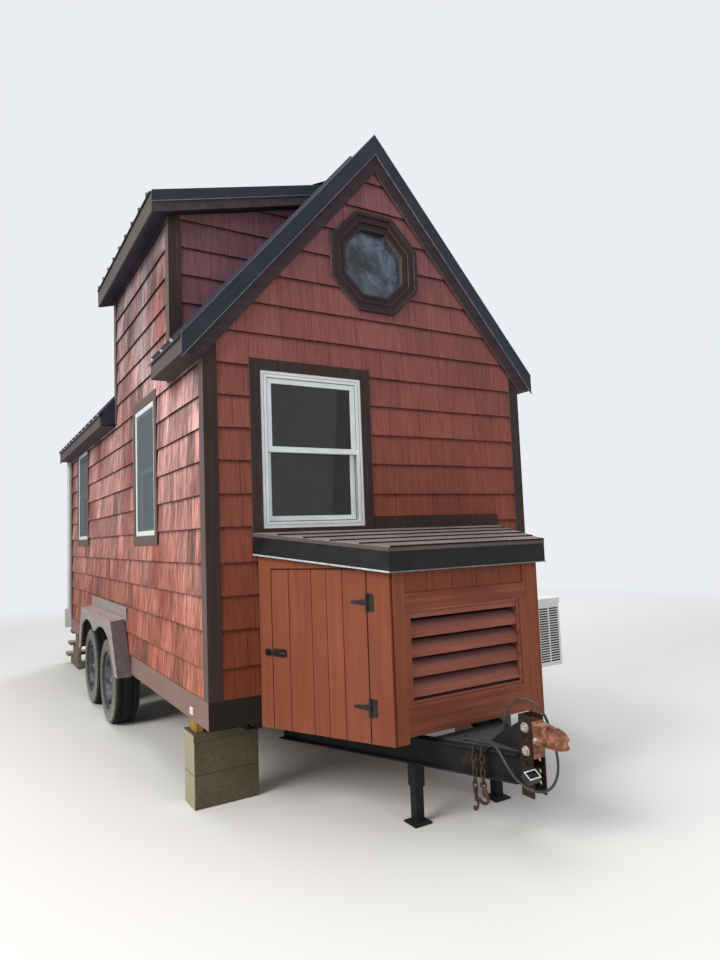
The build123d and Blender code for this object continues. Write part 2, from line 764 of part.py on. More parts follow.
def build_windows():
    nodes = {}
    wx, ww, wz, wh = front_window
    frame, panes = sash_window(ww, wh, front_frame_w)
    place = Pos(wx, window_setback, wz)
    nodes["front_windows"] = place * frame
    glass = [place * pane for pane in panes]
    casings = [Pos(wx, wall_front_y, wz) * casing(ww, wh)]
    frames = []
    for s in (-1, 1):
        turn = Rot(0, 0, s * 90)
        for cy, w, z, h in side_windows:
            frame, panes = sash_window(w, h, side_frame_w)
            place = Pos(s * (half_width - window_setback), cy, z) * turn
            frames.append(place * frame)
            glass += [place * pane for pane in panes]
            boards = Pos(s * wall_out_x, cy, z) * turn * casing(w, h)
            under_eave = s > 0 or not dormer_front_y < cy < dormer_rear_y
            casings.append(boards.cut(block(-far, far, 0, far, soffit_z, far)) if under_eave else boards)
    nodes["side_windows"] = frames
    ring = prism_xz(octagon(octagon_trim_half), 0, trim_t)
    casings.append(ring.cut(prism_xz(octagon(octagon_frame_half), -1, wall_t)))
    frame = prism_xz(octagon(octagon_frame_half), trim_t / 2, window_frame_depth)
    nodes["octagon_window"] = frame.cut(prism_xz(octagon(octagon_glass_half), -1, 2 * wall_t))
    mid = window_frame_depth / 2
    glass.append(prism_xz(octagon(octagon_glass_half), mid - glass_t / 2, mid + glass_t / 2))
    nodes["window_glass"] = glass
    flashing = block(wx + ww / 2 + casing_w, box_back_half + flashing_reach, trim_t - flashing_t, trim_t,
                     box_roof_back_z, box_roof_back_z + flashing_h)
    nodes["wall_trim"] = casings + [flashing]
    return nodes


def build_entry():
    nodes = {}
    x0, x1 = entry_x - entry_w / 2, entry_x + entry_w / 2
    z0, z1 = floor_top_z, floor_top_z + entry_h
    f = entry_frame_w
    frame = block(x0 - f, x1 + f, room_rear_y, wall_rear_y, z0, z1 + f)
    stop = entry_stop
    frame = frame.cut(block(x0 + stop, x1 - stop, room_rear_y - 1, wall_rear_y, z0, z1 - stop),
                      block(x0, x1, wall_rear_y - entry_t - entry_seat, wall_rear_y, z0, z1))
    outer = block(x0 - casing_w, x1 + casing_w, wall_rear_y, body_length, z0, z1 + casing_w)
    outer = outer.cut(block(x0, x1, wall_rear_y - 1, body_length + 1, z0, z1))
    nodes["entry_frame"] = frame.fuse(outer)
    leaf = block(x0 + entry_gap, x1 - entry_gap, wall_rear_y - entry_t, wall_rear_y, z0 + entry_sill_gap,
                 z1 - entry_gap)
    for i in range(2):
        pz = z0 + entry_panel_first + i * entry_panel_pitch
        leaf = leaf.cut(block(x0 + entry_panel_edge, x1 - entry_panel_edge, wall_rear_y - entry_panel_depth,
                              wall_rear_y + 1, pz, pz + entry_panel_h))
    knob_x, knob_z = x0 + knob_inset, z0 + knob_height
    neck = rod((knob_x, wall_rear_y, knob_z), (knob_x, wall_rear_y + knob_reach, knob_z), knob_neck_r)
    nodes["entry_door"] = leaf.fuse(neck, Pos(knob_x, wall_rear_y + knob_reach, knob_z) * Sphere(knob_r))
    nodes["rear_steps"] = build_steps()
    return nodes


def build_steps():
    """Treads on two stringers, which hang from the floor's edge."""
    treads, outline = [], []
    y0 = body_length
    for i in range(step_count):
        top = (step_count - i) * step_rise - step_top_drop
        ya, yb = y0 + i * step_run, y0 + (i + 1) * step_run
        back = ya + stringer_t if i == 0 else ya
        treads.append(block(step_left_x, step_left_x + step_width, back, yb, top - tread_t, top))
        outline += [(ya, top - tread_t), (yb, top - tread_t)]
    hanger_top = skirt_bottom_z + step_hanger_lap
    points = [(y0, 0), (y0, hanger_top), (y0 + stringer_t, hanger_top), (y0 + stringer_t, outline[0][1])]
    points += outline[1:] + [(y0 + step_count * step_run, 0)]
    stringers = [prism_yz(points, step_left_x + dx, step_left_x + dx + stringer_t)
                 for dx in (stringer_inset, step_width - stringer_inset - stringer_t)]
    return treads[0].fuse(*treads[1:], *stringers)


def channel_section(depth, flange, web):
    """C section with its web at x = 0 and flanges towards +x, z from 0 to depth."""
    return [(0, 0), (flange, 0), (flange, web), (web, web), (web, depth - web), (flange, depth - web),
            (flange, depth), (0, depth)]


def tongue_x(y):
    """Distance of a tongue rail's web from the centreline."""
    return tongue_tip_x + (y - post_back_y) * tan(radians(tongue_angle))


def on_tongue(shape):
    """Place a shape made along the right rail: x runs out from its web, y back from the post, z up."""
    return Pos(tongue_tip_x, post_back_y, tongue_bottom_z) * Rot(0, 0, -tongue_angle) * shape


def build_chassis():
    nodes = {}
    y0, y1 = wall_front_y + rim_t, wall_rear_y - rim_t
    section = [(rail_x - x, rail_bottom_z + z) for x, z in channel_section(rail_depth, rail_flange, rail_web)]
    rail = prism_xz(section, y0, y1)
    nodes["main_rails"] = both_sides(rail)
    cross, outriggers = [], []
    inner = rail_x - rail_web
    lip = rail_x - rail_flange
    for i in range(cross_count):
        y = y0 + (y1 - y0 - cross_flange) * i / (cross_count - 1)
        zc = rail_top_z - rail_web - cross_depth
        if i == 0:
            section = channel_section(rail_depth, rail_flange, rail_web)
            header = [(y + a, rail_bottom_z + b) for a, b in section]
            cross.append(prism_yz(header, -lip, lip))
            continue
        profile = [(y + a, zc + b) for a, b in channel_section(cross_depth, cross_flange, cross_t)]
        bar = prism_yz(profile, -inner, inner)
        cross.append(bar)
        if y + cross_flange < well_front_y - outrigger_clear or y > well_rear_y + outrigger_clear:
            profile = [(y + a, rail_top_z - cross_depth + b)
                       for a, b in channel_section(cross_depth, cross_flange, cross_t)]
            outriggers += both_sides(prism_yz(profile, rail_x, wall_out_x - rim_t))
    nodes["cross_members"] = cross + outriggers
    # A-frame tongue: two I beams meeting behind the hitch post
    t, d, f = tongue_t, tongue_depth, tongue_flange
    i_section = [(-f / 2, 0), (f / 2, 0), (f / 2, t), (t / 2, t), (t / 2, d - t), (f / 2, d - t), (f / 2, d),
                 (-f / 2, d), (-f / 2, d - t), (-t / 2, d - t), (-t / 2, t), (-f / 2, t)]
    length = (tongue_end_y - post_back_y) / cos(radians(tongue_angle)) + 2 * tongue_depth
    beam = on_tongue(prism_xz(i_section, -tongue_depth, length))
    keep = block(tongue_split, far, post_back_y, tongue_end_y, 0, tongue_top_z)
    nodes["tongue_rails"] = both_sides(beam.intersect(keep).solids()[0])
    front_y, back_y = post_back_y, tongue_plate_back_y
    front, back = tongue_tip_x, tongue_x(back_y)
    plate = [(-back, back_y), (-front, front_y), (front, front_y), (back, back_y)]
    plate_solid = prism_xy(plate, tongue_top_z, tongue_top_z + tongue_plate_t)
    nodes["hitch_post"] = build_hitch_post().fuse(plate_solid)
    return nodes


def hex_prism(centre, axis, across, length):
    """Hexagonal bolt head or nut."""
    plane = Plane(origin=Vector(*centre), z_dir=Vector(*axis))
    return plane * extrude(RegularPolygon(across / 2, 6, major_radius=False), length)


def build_hitch_post():
    """Upright channel with its row of holes and two gussets."""
    post = block(-post_half_w, post_half_w, post_front_y, post_back_y, post_bottom_z, post_top_z)
    inner = post_half_w - post_t
    post = post.cut(block(-inner, inner, post_front_y - 1, post_back_y - post_t, 0, far))
    first = hitch_bolt_zs[0] - hitch_holes_below * hitch_hole_pitch
    for i in range(hitch_hole_count):
        z = first + i * hitch_hole_pitch
        post = post.cut(rod((-far, hitch_bolt_y, z), (far, hitch_bolt_y, z), hitch_hole_r))
    y, deck = post_back_y, tongue_deck_z
    gusset = [(y, deck), (y, deck + gusset_top), (y + gusset_shoulder[0], deck + gusset_shoulder[1]),
              (y + gusset_foot, deck)]
    for x in (-tongue_tip_x, tongue_tip_x - gusset_t):
        post = post.fuse(prism_yz(gusset, x, x + gusset_t))
    return post


def build_hitch():
    bolts = []
    for z in hitch_bolt_zs:
        shank = rod((-post_half_w, hitch_bolt_y, z), (post_half_w, hitch_bolt_y, z), hitch_bolt_d / 2)
        head = hex_prism((-post_half_w - hitch_bolt_head_h, hitch_bolt_y, z), (1, 0, 0), hitch_bolt_head,
                         hitch_bolt_head_h)
        nut = hex_prism((post_half_w, hitch_bolt_y, z), (1, 0, 0), hitch_bolt_head, hitch_nut_h)
        bolts.append(shank.fuse(head, nut))
    return {"coupler": build_coupler(), "hitch_bolts": bolts, **build_chains(), **build_cable()}


def build_coupler():
    """Adjustable coupler: bracket between the post's flanges, hollow tapered neck, ball socket and latch."""
    inner = post_half_w - post_t - coupler_play
    z0, z1 = hitch_bolt_zs[0] - coupler_lap, hitch_bolt_zs[1] + coupler_lap
    back_y = post_front_y - coupler_back_t
    bracket = block(-inner, inner, back_y, post_back_y - post_t - coupler_play, z0, z1)
    cheek = inner - coupler_cheek_t
    bracket = bracket.cut(block(-cheek, cheek, post_front_y, post_back_y, z0 - 1, z1 + 1))
    for z in hitch_bolt_zs:
        bracket = bracket.cut(rod((-2 * inner, hitch_bolt_y, z), (2 * inner, hitch_bolt_y, z), hitch_hole_r))
    outer_r = socket_r + socket_wall
    mouth, crown = socket_mouth_z, socket_mouth_z + socket_depth
    nose_z, shoulder_z = crown + socket_wall + neck_nose_rise, z1 - neck_shoulder_drop
    neck = [(back_y, shoulder_z), (socket_y, nose_z), (socket_y, mouth), (back_y, mouth)]
    body = prism_yz(neck, -outer_r, outer_r)
    hollow = [(back_y + 1, shoulder_z - neck_wall), (socket_y, nose_z - neck_wall), (socket_y, mouth - 1),
              (back_y + 1, mouth - 1)]
    body = body.cut(prism_yz(hollow, neck_wall - outer_r, outer_r - neck_wall))
    nose = rod((0, socket_y, mouth), (0, socket_y, crown), outer_r)
    dome = Pos(0, socket_y, crown) * Sphere(outer_r)
    dome = dome.cut(block(-far, far, -far, far, 0, crown))
    lip = rod((0, socket_y, mouth), (0, socket_y, mouth + lip_h), outer_r + lip_w)
    rim_flange = block(-outer_r - lip_w, outer_r + lip_w, socket_y, back_y, mouth, mouth + lip_h)
    rim_flange = rim_flange.cut(block(neck_wall - outer_r, outer_r - neck_wall, -far, far, 0, far))
    body = body.fuse(nose, dome, lip, rim_flange, bracket, coupler_latch(nose_z, shoulder_z, outer_r, back_y))
    return body.cut(rod((0, socket_y, 0), (0, socket_y, crown), socket_r))


def coupler_latch(nose_z, shoulder_z, outer_r, back_y):
    """Lever along the top of the neck, bent down over the nose, with its cross pin."""
    slope = (shoulder_z - nose_z) / (back_y - socket_y)
    pivot_y = back_y - latch_pivot_back
    pivot_z = nose_z + (pivot_y - socket_y) * slope
    tip_y = socket_y - outer_r - latch_nose
    low_z = socket_mouth_z + socket_depth
    lever = [(pivot_y, pivot_z), (pivot_y, pivot_z + latch_t), (socket_y, nose_z + socket_wall + latch_t),
             (tip_y, low_z + latch_t), (tip_y, low_z), (socket_y - outer_r + socket_wall, low_z),
             (socket_y, nose_z - socket_wall)]
    half = latch_w / 2
    arm = prism_yz(lever, -half, half)
    pin_z = pivot_z + latch_t / 2
    pin_y = pivot_y - latch_pin_r
    pin = rod((-half - latch_pin_reach, pin_y, pin_z), (half + latch_pin_reach, pin_y, pin_z), latch_pin_r)
    return arm.fuse(pin)


def chain_link():
    """A welded link of round bar, its length along z and its width along x, centred."""
    half_w = link_inner_w / 2 + link_bar_r
    straight = link_inner_l / 2 + link_bar_r - half_w
    bar = RegularPolygon(link_bar_r, link_bar_sides)
    axis = Axis((0, 0, straight), (0, -1, 0))
    bend = revolve(Pos(half_w, 0, straight) * bar, axis=axis, revolution_arc=180)
    legs = [extrude(Pos(x, 0, -straight) * bar, 2 * straight) for x in (-half_w, half_w)]
    return bend.fuse(mirror(bend, about=Plane.XY), *legs)


def chain_hook():
    """Forged hook cut from plate: an eye at the top, a shank and an open bend; its plane is x and z."""
    eye_r = hook_eye_r + hook_eye_wall
    y0, y1 = -hook_t / 2, hook_t / 2
    eye = rod((0, y0, 0), (0, y1, 0), eye_r)
    bend = rod((0, y0, -hook_drop), (0, y1, -hook_drop), hook_bend_r)
    neck = [(-hook_eye_wall, 0), (hook_eye_wall, 0), (hook_eye_wall, -hook_drop), (-hook_bend_r, -hook_drop)]
    body = eye.fuse(bend, prism_xz(neck, y0, y1))
    mouth = [(0, -hook_drop), (hook_bend_r + 1, -hook_drop), (hook_bend_r + 1, -hook_drop + hook_bend_r),
             (hook_eye_wall, -hook_drop + hook_bend_r)]
    return body.cut(rod((0, y0 - 1, 0), (0, y1 + 1, 0), hook_eye_r),
                    rod((0, y0 - 1, -hook_drop), (0, y1 + 1, -hook_drop), hook_throat_r),
                    prism_xz(mouth, y0 - 1, y1 + 1))


def build_chains():
    """Two safety chains, hung side by side from a plate on the left tongue rail."""
    top = tongue_depth + chain_plate_t
    edge = tongue_flange / 2 + chain_reach
    along = (chain_y - post_back_y) / cos(radians(tongue_angle))
    plate = block(tongue_split, edge, along - chain_plate_l / 2, along + chain_plate_l / 2, tongue_depth, top)
    half_w = link_inner_w / 2 + link_bar_r
    loop_x = edge - chain_margin / 2
    inner_r = link_inner_w / 2
    corner_drop = (inner_r ** 2 - (chain_margin / 2) ** 2) ** 0.5
    end = link_inner_l / 2 + link_bar_r
    first_z = top - corner_drop - (end - half_w) + chain_seat
    links = []
    for side, count in zip((-1, 1), chain_link_counts):
        y = along + side * chain_pitch / 2
        plate = plate.cut(block(edge - chain_margin - chain_slot_w, edge - chain_margin, y - chain_slot_w / 2,
                                y + chain_slot_w / 2, 0, far))
        for i in range(count):
            z = first_z - i * (link_inner_l - chain_seat)
            links.append(Pos(loop_x, y, z) * Rot(0, 0, 90 * (i % 2)) * chain_link())
        bar_top = z - end + link_bar_r
        eye_dip = inner_r - (inner_r ** 2 - (hook_t / 2) ** 2) ** 0.5
        hook = Rot(0, 0, 90 * (count % 2)) * chain_hook()
        links.append(Pos(loop_x, y, bar_top + eye_dip - hook_eye_r + chain_seat) * hook)
    return {"chain_plate": mirrored_x(on_tongue(plate)),
            "safety_chains": [mirrored_x(on_tongue(link)) for link in links]}


def cable_radii(points):
    """The largest arc at each corner that the runs beside it leave room for."""
    runs = [Vector(*b) - Vector(*a) for a, b in zip(points, points[1:])]
    return [cable_share * min(a.length, b.length) / tan(radians(a.get_angle(b) / 2))
            for a, b in zip(runs, runs[1:])]


def gland(mouth, cable_way):
    """Tapered boot with its flange, open to the cable at its mouth."""
    back = Plane(origin=Vector(*mouth), z_dir=-cable_way)
    to_min = (Align.CENTER, Align.CENTER, Align.MIN)
    taper = gland_l - gland_flange_t
    boot = back * Cone(gland_tip_r, gland_r, taper, align=to_min)
    flange = back * Pos(0, 0, taper) * Cylinder(gland_flange_r, gland_flange_t, align=to_min)
    return boot.fuse(flange)


def build_cable():
    """The cable as a plain tube, its two glands on the deck, and the box of the breakaway switch."""
    radii = cable_radii(cable_route)
    print("cable radii", [round(r) for r in radii])
    path = FilletPolyline(*cable_route, radius=radii)
    tube = sweep(Plane(origin=path @ 0, z_dir=path % 0) * Circle(cable_d / 2), path=path)
    print("cable length", round(path.length))
    under_deck = block(-far, far, -far, far, 0, tongue_deck_z)
    lying = gland(cable_route[0], path % 0).cut(under_deck)
    upright = gland(cable_route[-1], -(path % 1))
    return {"trailer_cable": tube, "cable_fittings": [lying, upright, build_switch()]}


def build_switch():
    """Box with a recessed open face, fixed by its side to a plate on the post's left flange."""
    tilt = radians(switch_tilt)
    outer_x = -post_half_w - switch_plate_t
    half_w, half_h = switch_w / 2, switch_h / 2
    centre_y = post_front_y - half_h * cos(tilt) - switch_depth * sin(tilt)
    box = block(-half_w, half_w, -half_h, half_h, -switch_depth, 0)
    in_w, in_h = half_w - switch_wall, half_h - switch_wall
    box = box.cut(block(-in_w, in_w, -in_h, in_h, -switch_recess, 1))
    face = Plane(origin=Vector(outer_x - half_w, centre_y, switch_z), x_dir=Vector(1, 0, 0),
                 z_dir=Vector(0, -sin(tilt), cos(tilt)))
    plate_y = hitch_bolt_y + hitch_bolt_inset / 2
    plate = block(outer_x, -post_half_w, plate_y - switch_plate_l, plate_y,
                  switch_plate_z - switch_plate_h / 2, switch_plate_z + switch_plate_h / 2)
    return (face * box).fuse(plate)


def build_supports():
    nodes = {}
    a, b = prop_outer / 2, prop_inner / 2
    outer = block(-a, a, -a, a, prop_split_z, tongue_bottom_z).cut(
        block(-b - prop_play, b + prop_play, -b - prop_play, b + prop_play, 0, tongue_bottom_z - prop_cap_t))
    inner = block(-b, b, -b, b, prop_foot_t, tongue_bottom_z - prop_lap).cut(
        block(-b + prop_wall, b - prop_wall, -b + prop_wall, b - prop_wall, prop_foot_t, far))
    foot = block(-prop_foot / 2, prop_foot / 2, -prop_foot / 2, prop_foot / 2, 0, prop_foot_t)
    here = Pos(-tongue_x(prop_y), prop_y, 0)
    nodes["tongue_props"] = both_sides(here * outer) + both_sides(here * inner.fuse(foot))
    core = (block_l - 3 * block_web) / 2
    body = block(0, block_l, 0, block_w, 0, block_h)
    for k in range(2):
        x = block_web + k * (core + block_web)
        body = body.cut(block(x, x + core, block_web, block_w - block_web, -1, block_h + 1))
    blocks = []
    for layer in range(block_layers):
        blocks += both_sides(Pos(-crib_outer_x, crib_front_y, layer * (block_h + block_gap)) * body)
    nodes["crib_blocks"] = blocks
    bottom = block_layers * block_h + (block_layers - 1) * block_gap
    top = bottom + crib_cap_t
    x_in, y_back = block_l - crib_outer_x, crib_front_y + block_w
    cap = block(-crib_outer_x - crib_cap_lap, x_in + crib_cap_lap, crib_front_y - crib_cap_lap,
                y_back + crib_cap_lap, bottom, top)
    nodes["crib_caps"] = both_sides(cap)
    m = crib_shim_margin
    y0 = crib_front_y + (block_w - crib_shim_w) / 2
    under_rail = block(-rail_x - m, -rail_x + rail_flange + m, y0, y0 + crib_shim_w, top, rail_bottom_z)
    under_rim = block(-wall_out_x, -wall_out_x + rim_t, y0, y0 + crib_shim_w, top, skirt_bottom_z)
    nodes["crib_shims"] = both_sides(under_rail) + both_sides(under_rim)
    return nodes


def tyre():
    """Trailer tyre lying along x, centred on its own middle, with tread grooves and a seat for the rim."""
    w, s = tyre_w / 2, tyre_shoulder
    seat = w - bead_inset
    soft = tyre_side_soft
    right = [(seat, rim_r), (seat, rim_r + bead_h), (w - soft, rim_r + 2 * bead_h), (w, rim_r + 4 * bead_h),
             (w - soft, tyre_r - s), (w - s / 3, tyre_r - s / 3), (w - s, tyre_r)]
    tread = []
    for x in reversed(tyre_groove_xs):
        a, b = x + tyre_groove_w / 2, x - tyre_groove_w / 2
        tread += [(a, tyre_r), (a, tyre_r - tyre_groove_depth), (b, tyre_r - tyre_groove_depth), (b, tyre_r)]
    left = [(-x, r) for x, r in reversed(right)]
    face = Face(Wire.make_polygon([Vector(x, r, 0) for x, r in right + tread + left], close=True))
    return revolve(face, axis=Axis.X).solids()[0]


def rim():
    """Deep steel wheel: flanged barrel, flat disc with round openings, and hub with cap."""
    w = tyre_w / 2
    seat, bore = w - bead_inset, rim_r - rim_t_wall
    edge, lip_r = seat + rim_flange_t, rim_r + bead_h
    face_x = w - disc_inset
    back_x = face_x - disc_t
    hub_end, cap_end = face_x + spindle_reach + disc_t, face_x + hub_cap_reach
    hole = spindle_r + bearing_gap
    barrel = [(edge, bore), (edge, lip_r), (seat, lip_r), (seat, rim_r), (-seat, rim_r), (-seat, lip_r),
              (-edge, lip_r), (-edge, bore), (back_x, bore)]
    hub_back = [(back_x, hub_r), (back_x - hub_depth, hub_cap_r), (back_x - hub_depth, hole)]
    cap = [(hub_end, hole), (hub_end, 0), (cap_end, 0), (cap_end, hub_cap_r / 2),
           (cap_end - disc_t, hub_cap_r)]
    hub_front = [(face_x + disc_t, hub_cap_r), (face_x + disc_t, hub_r), (face_x, hub_r + disc_t),
                 (face_x, bore)]
    outline = barrel + hub_back + cap + hub_front
    face = Face(Wire.make_polygon([Vector(x, r, 0) for x, r in outline], close=True))
    body = revolve(face, axis=Axis.X)
    ring_r = (hub_r + rim_r) / 2
    for i in range(vent_count):
        a = 2 * pi * i / vent_count
        y, z = ring_r * cos(a), ring_r * sin(a)
        body = body.cut(rod((back_x - 1, y, z), (face_x + 1, y, z), vent_r))
    return body.solids()[0]


def build_running_gear():
    nodes = {}
    tyre_solid, rim_solid = tyre(), rim()
    for side, s in (("left", -1), ("right", 1)):
        for place, y in zip(("front", "rear"), wheel_ys):
            spot = Pos(s * wheel_x, y, axle_z) * Rot(0, 0, 180 if s < 0 else 0)
            nodes[f"tyre_{side}_{place}"] = spot * tyre_solid
            nodes[f"rim_{side}_{place}"] = spot * rim_solid
    axles, springs = [], []
    face_x = wheel_x + tyre_w / 2 - disc_inset
    spindle_end = face_x + spindle_reach
    tube_end = face_x - disc_t - hub_depth - coupler_play
    for y in wheel_ys:
        tube = rod((-tube_end, y, axle_z), (tube_end, y, axle_z), axle_tube_r)
        axles.append(tube.fuse(rod((-spindle_end, y, axle_z), (spindle_end, y, axle_z), spindle_r)))
        springs += both_sides(leaf_spring(y))
    nodes["axles"] = axles
    nodes["leaf_springs"] = springs
    nodes.update(build_fenders())
    return nodes


def leaf_spring(y):
    """Stack of curved leaves over the axle, its main leaf reaching up to the rail."""
    x = rail_x - rail_flange / 2
    leaf = spring_leaf_t
    base = axle_z + axle_tube_r
    full_rise = rail_bottom_z - base - len(spring_halves) * leaf - spring_seat
    leaves = []
    for i, half in enumerate(spring_halves):
        z = base + i * leaf
        rise = full_rise * (half / spring_halves[-1]) ** 2
        with BuildPart() as part:
            with BuildSketch(Plane.YZ.offset(x - spring_half_w)):
                with BuildLine():
                    ThreePointArc((y - half, z + rise), (y, z), (y + half, z + rise))
                    Line((y + half, z + rise), (y + half, z + rise + leaf))
                    ThreePointArc((y + half, z + rise + leaf), (y, z + leaf), (y - half, z + rise + leaf))
                    Line((y - half, z + rise + leaf), (y - half, z + rise))
                make_face()
            extrude(amount=2 * spring_half_w)
        leaves.append(part.part.solids()[0])
    return leaves[0].fuse(*leaves[1:])


def fender_side():
    """Outer board of a fender with its two joined arches, on the right side."""
    y0, y1, y_mid = fender_front_y, fender_rear_y, axle_centre_y
    foot0, foot1 = y0 - fender_splay, y1 + fender_rear_splay
    zb, zt = fender_bottom_z, fender_top_z
    front = ((y0 + arch_in, zt - arch_side), (y0 + arch_far, zt - arch_crown),
             (y_mid - arch_valley_w / 4, zt - arch_valley))
    rear = ((y_mid + arch_valley_w / 4, zt - arch_valley), (y1 - arch_far, zt - arch_crown),
            (y1 - arch_in, zt - arch_side))
    with BuildPart() as part:
        with BuildSketch(Plane.YZ.offset(fender_outer_x - fender_t)):
            with BuildLine():
                Line((foot0 + fender_foot, zb), front[0])
                ThreePointArc(*front)
                Line(front[2], rear[0])
                ThreePointArc(*rear)
                Polyline(rear[2], (foot1 - fender_foot, zb), (foot1, zb), (y1, zt), (y0, zt), (foot0, zb),
                         (foot0 + fender_foot, zb))
            make_face()
        extrude(amount=fender_t)
    return part.part.solids()[0]


def build_fenders():
    half, out_x, t = half_width, fender_outer_x, fender_t
    y0, y1 = fender_front_y, fender_rear_y
    zb, zt = fender_bottom_z, fender_top_z
    foot0, foot1 = y0 - fender_splay, y1 + fender_rear_splay
    back_z = zt + fender_top_drop
    top = [(half, back_z), (half, back_z - t), (out_x - t, zt - t), (out_x - t, zt)]
    lid = prism_xz(top, y0, y1)
    front_panel = prism_yz([(foot0, zb), (y0, zt), (y0 + t, zt), (foot0 + t, zb)], half, out_x - t)
    rear_panel = prism_yz([(foot1, zb), (y1, zt), (y1 - t, zt), (foot1 - t, zb)], half, out_x - t)
    upstand = block(wall_out_x, half, y0 - upstand_front, y1 + upstand_rear, back_z - t, upstand_top_z)
    fender = fender_side().fuse(lid, front_panel, rear_panel, upstand)
    well = block(well_inner_x, wall_out_x, well_front_y, well_rear_y, skirt_bottom_z, well_top_z)
    inside = block(well_inner_x + well_t, wall_out_x + 1, well_front_y + well_t, well_rear_y - well_t, 0,
                   well_top_z - well_t)
    well = well.cut(inside)
    return {"fenders": [mirrored_x(fender), fender], "wheel_wells": [mirrored_x(well), well]}


def box_roof_z(y):
    """Top of the box roof's deck."""
    share = -y / (-box_front_y + box_roof_overhang)
    return box_roof_back_z + (box_roof_front_z - box_roof_back_z) * share


side_angle = degrees(atan2(box_back_half - box_front_half, -box_front_y))
side_length = hypot(box_back_half - box_front_half, box_front_y)


def side_frame(shape):
    """Place a shape made along the left side: x runs from the wall to the front, y inwards."""
    return Pos(-box_back_half, 0, 0) * Rot(0, 0, side_angle - 90) * shape


def build_box():
    nodes = {}
    t = box_board_t
    roof_under_front = box_roof_z(box_front_y) - t

    def side_top(along):
        return box_roof_z(along / side_length * box_front_y) - t

    def side_board(start, end, bottom):
        outline = [(start, bottom), (end, bottom), (end, side_top(end)), (start, side_top(start))]
        return prism_xz(outline, 0, t)

    opening = box_door_start - door_gap
    left = side_board(0, opening, box_bottom_z).fuse(
        side_board(hinge_axis_along, side_length, box_bottom_z),
        side_board(opening, hinge_axis_along, box_door_top_z + door_gap))
    whole = side_board(0, side_length, box_bottom_z)
    right = mirrored_x(side_frame(whole))
    behind_wall = block(-far, far, 0, far, 0, far)
    before_front = block(-far, far, -far, box_front_y, 0, far)
    nodes["box_sides"] = [side.cut(behind_wall, before_front) for side in (side_frame(left), right)]
    inset = box_front_inset
    x_in = box_front_half - t
    x0, x1 = louvre_x - louvre_w / 2, louvre_x + louvre_w / 2
    y_in = box_front_y + inset + t
    front = block(-x_in, x_in, box_front_y + inset, y_in, box_panel_bottom_z, roof_under_front)
    for s in (-1, 1):
        corner_x = s * (box_front_half - box_corner_w)
        front = front.fuse(block(corner_x, s * x_in, box_front_y, y_in, box_bottom_z, roof_under_front))
    side_solids = side_frame(whole).fuse(right)
    front = front.cut(block(x0, x1, box_front_y - 1, box_front_y + 3 * t, louvre_bottom_z,
                            louvre_bottom_z + louvre_h))
    nodes["box_front"] = front.cut(side_solids)
    edge = (t + box_floor_gap) / cos(radians(side_angle))
    back_x = box_back_half - edge
    front_x = box_front_half - edge + (y_in - box_front_y) * tan(radians(side_angle))
    floor = [(-back_x, 0), (-front_x, y_in), (front_x, y_in), (back_x, 0)]
    nodes["box_floor"] = prism_xy(floor, box_panel_bottom_z, box_panel_bottom_z + t)
    y_edge = box_front_y - box_roof_overhang
    half_front, half_back = box_front_half + box_roof_front_side, box_back_half + box_roof_side_overhang
    plan = [(-half_back, 0), (-half_front, y_edge), (half_front, y_edge), (half_back, 0)]
    slab = prism_yz([(0, box_roof_z(0)), (y_edge, box_roof_z(y_edge)), (y_edge, box_roof_z(y_edge) - t),
                     (0, box_roof_z(0) - t)], -far, far)
    nodes["box_roof"] = slab.intersect(prism_xy(plan, 0, far)).solids()[0]
    f = box_fascia_t
    y_fascia = y_edge + f
    inner = [(f - half_back, 1), (f - half_front, y_fascia), (half_front - f, y_fascia), (half_back - f, 1)]
    band = prism_xy(plan, 0, far).cut(prism_xy(inner, -1, far + 1))
    back_z, front_z, h = box_roof_z(0), box_roof_z(y_edge), box_fascia_h
    side = [(0, back_z - t), (y_edge, front_z - t), (y_edge, front_z - h), (0, back_z - h)]
    lower = prism_yz(side, -far, far)
    nodes["box_fascia"] = band.intersect(lower).solids()[0]
    nodes["louvre"] = build_louvre(x0, x1, box_front_y + inset)
    nodes.update(build_box_door())
    return nodes


def build_louvre(x0, x1, y_face):
    """Frame lining the opening, and curved slats between its jambs; the top slat tucks behind the head."""
    t = louvre_jamb_t
    z0, z1 = louvre_bottom_z, louvre_bottom_z + louvre_h
    y_back = y_face + louvre_depth
    room = block(x0 + t, x1 - t, y_face, y_back, z0 + t, z1 - t)
    slats = [block(x0, x1, y_face, y_back, z0, z1).cut(room)]
    ya, yb = y_face + slat_setback, y_face + slat_setback + slat_run
    bulge = 1 - cos(radians(45))
    run, rise = slat_run - slat_t, slat_rise - slat_t
    for i in range(louvre_slats):
        lip = z1 - louvre_first_lip - i * louvre_pitch
        top = lip + slat_rise
        outer = (ya, lip), (ya + bulge * slat_run, top - bulge * slat_rise), (yb, top)
        inner = (yb, top - slat_t), (yb - run + bulge * run, top - slat_t - bulge * rise), (ya + slat_t, lip)
        with BuildPart() as part:
            with BuildSketch(Plane.YZ.offset(x0 + t)):
                with BuildLine():
                    ThreePointArc(*outer)
                    Line(outer[2], inner[0])
                    ThreePointArc(*inner)
                    Line(inner[2], outer[0])
                make_face()
            extrude(amount=x1 - x0 - 2 * t)
        slats.append(part.part.intersect(room).solids()[0])
    return slats


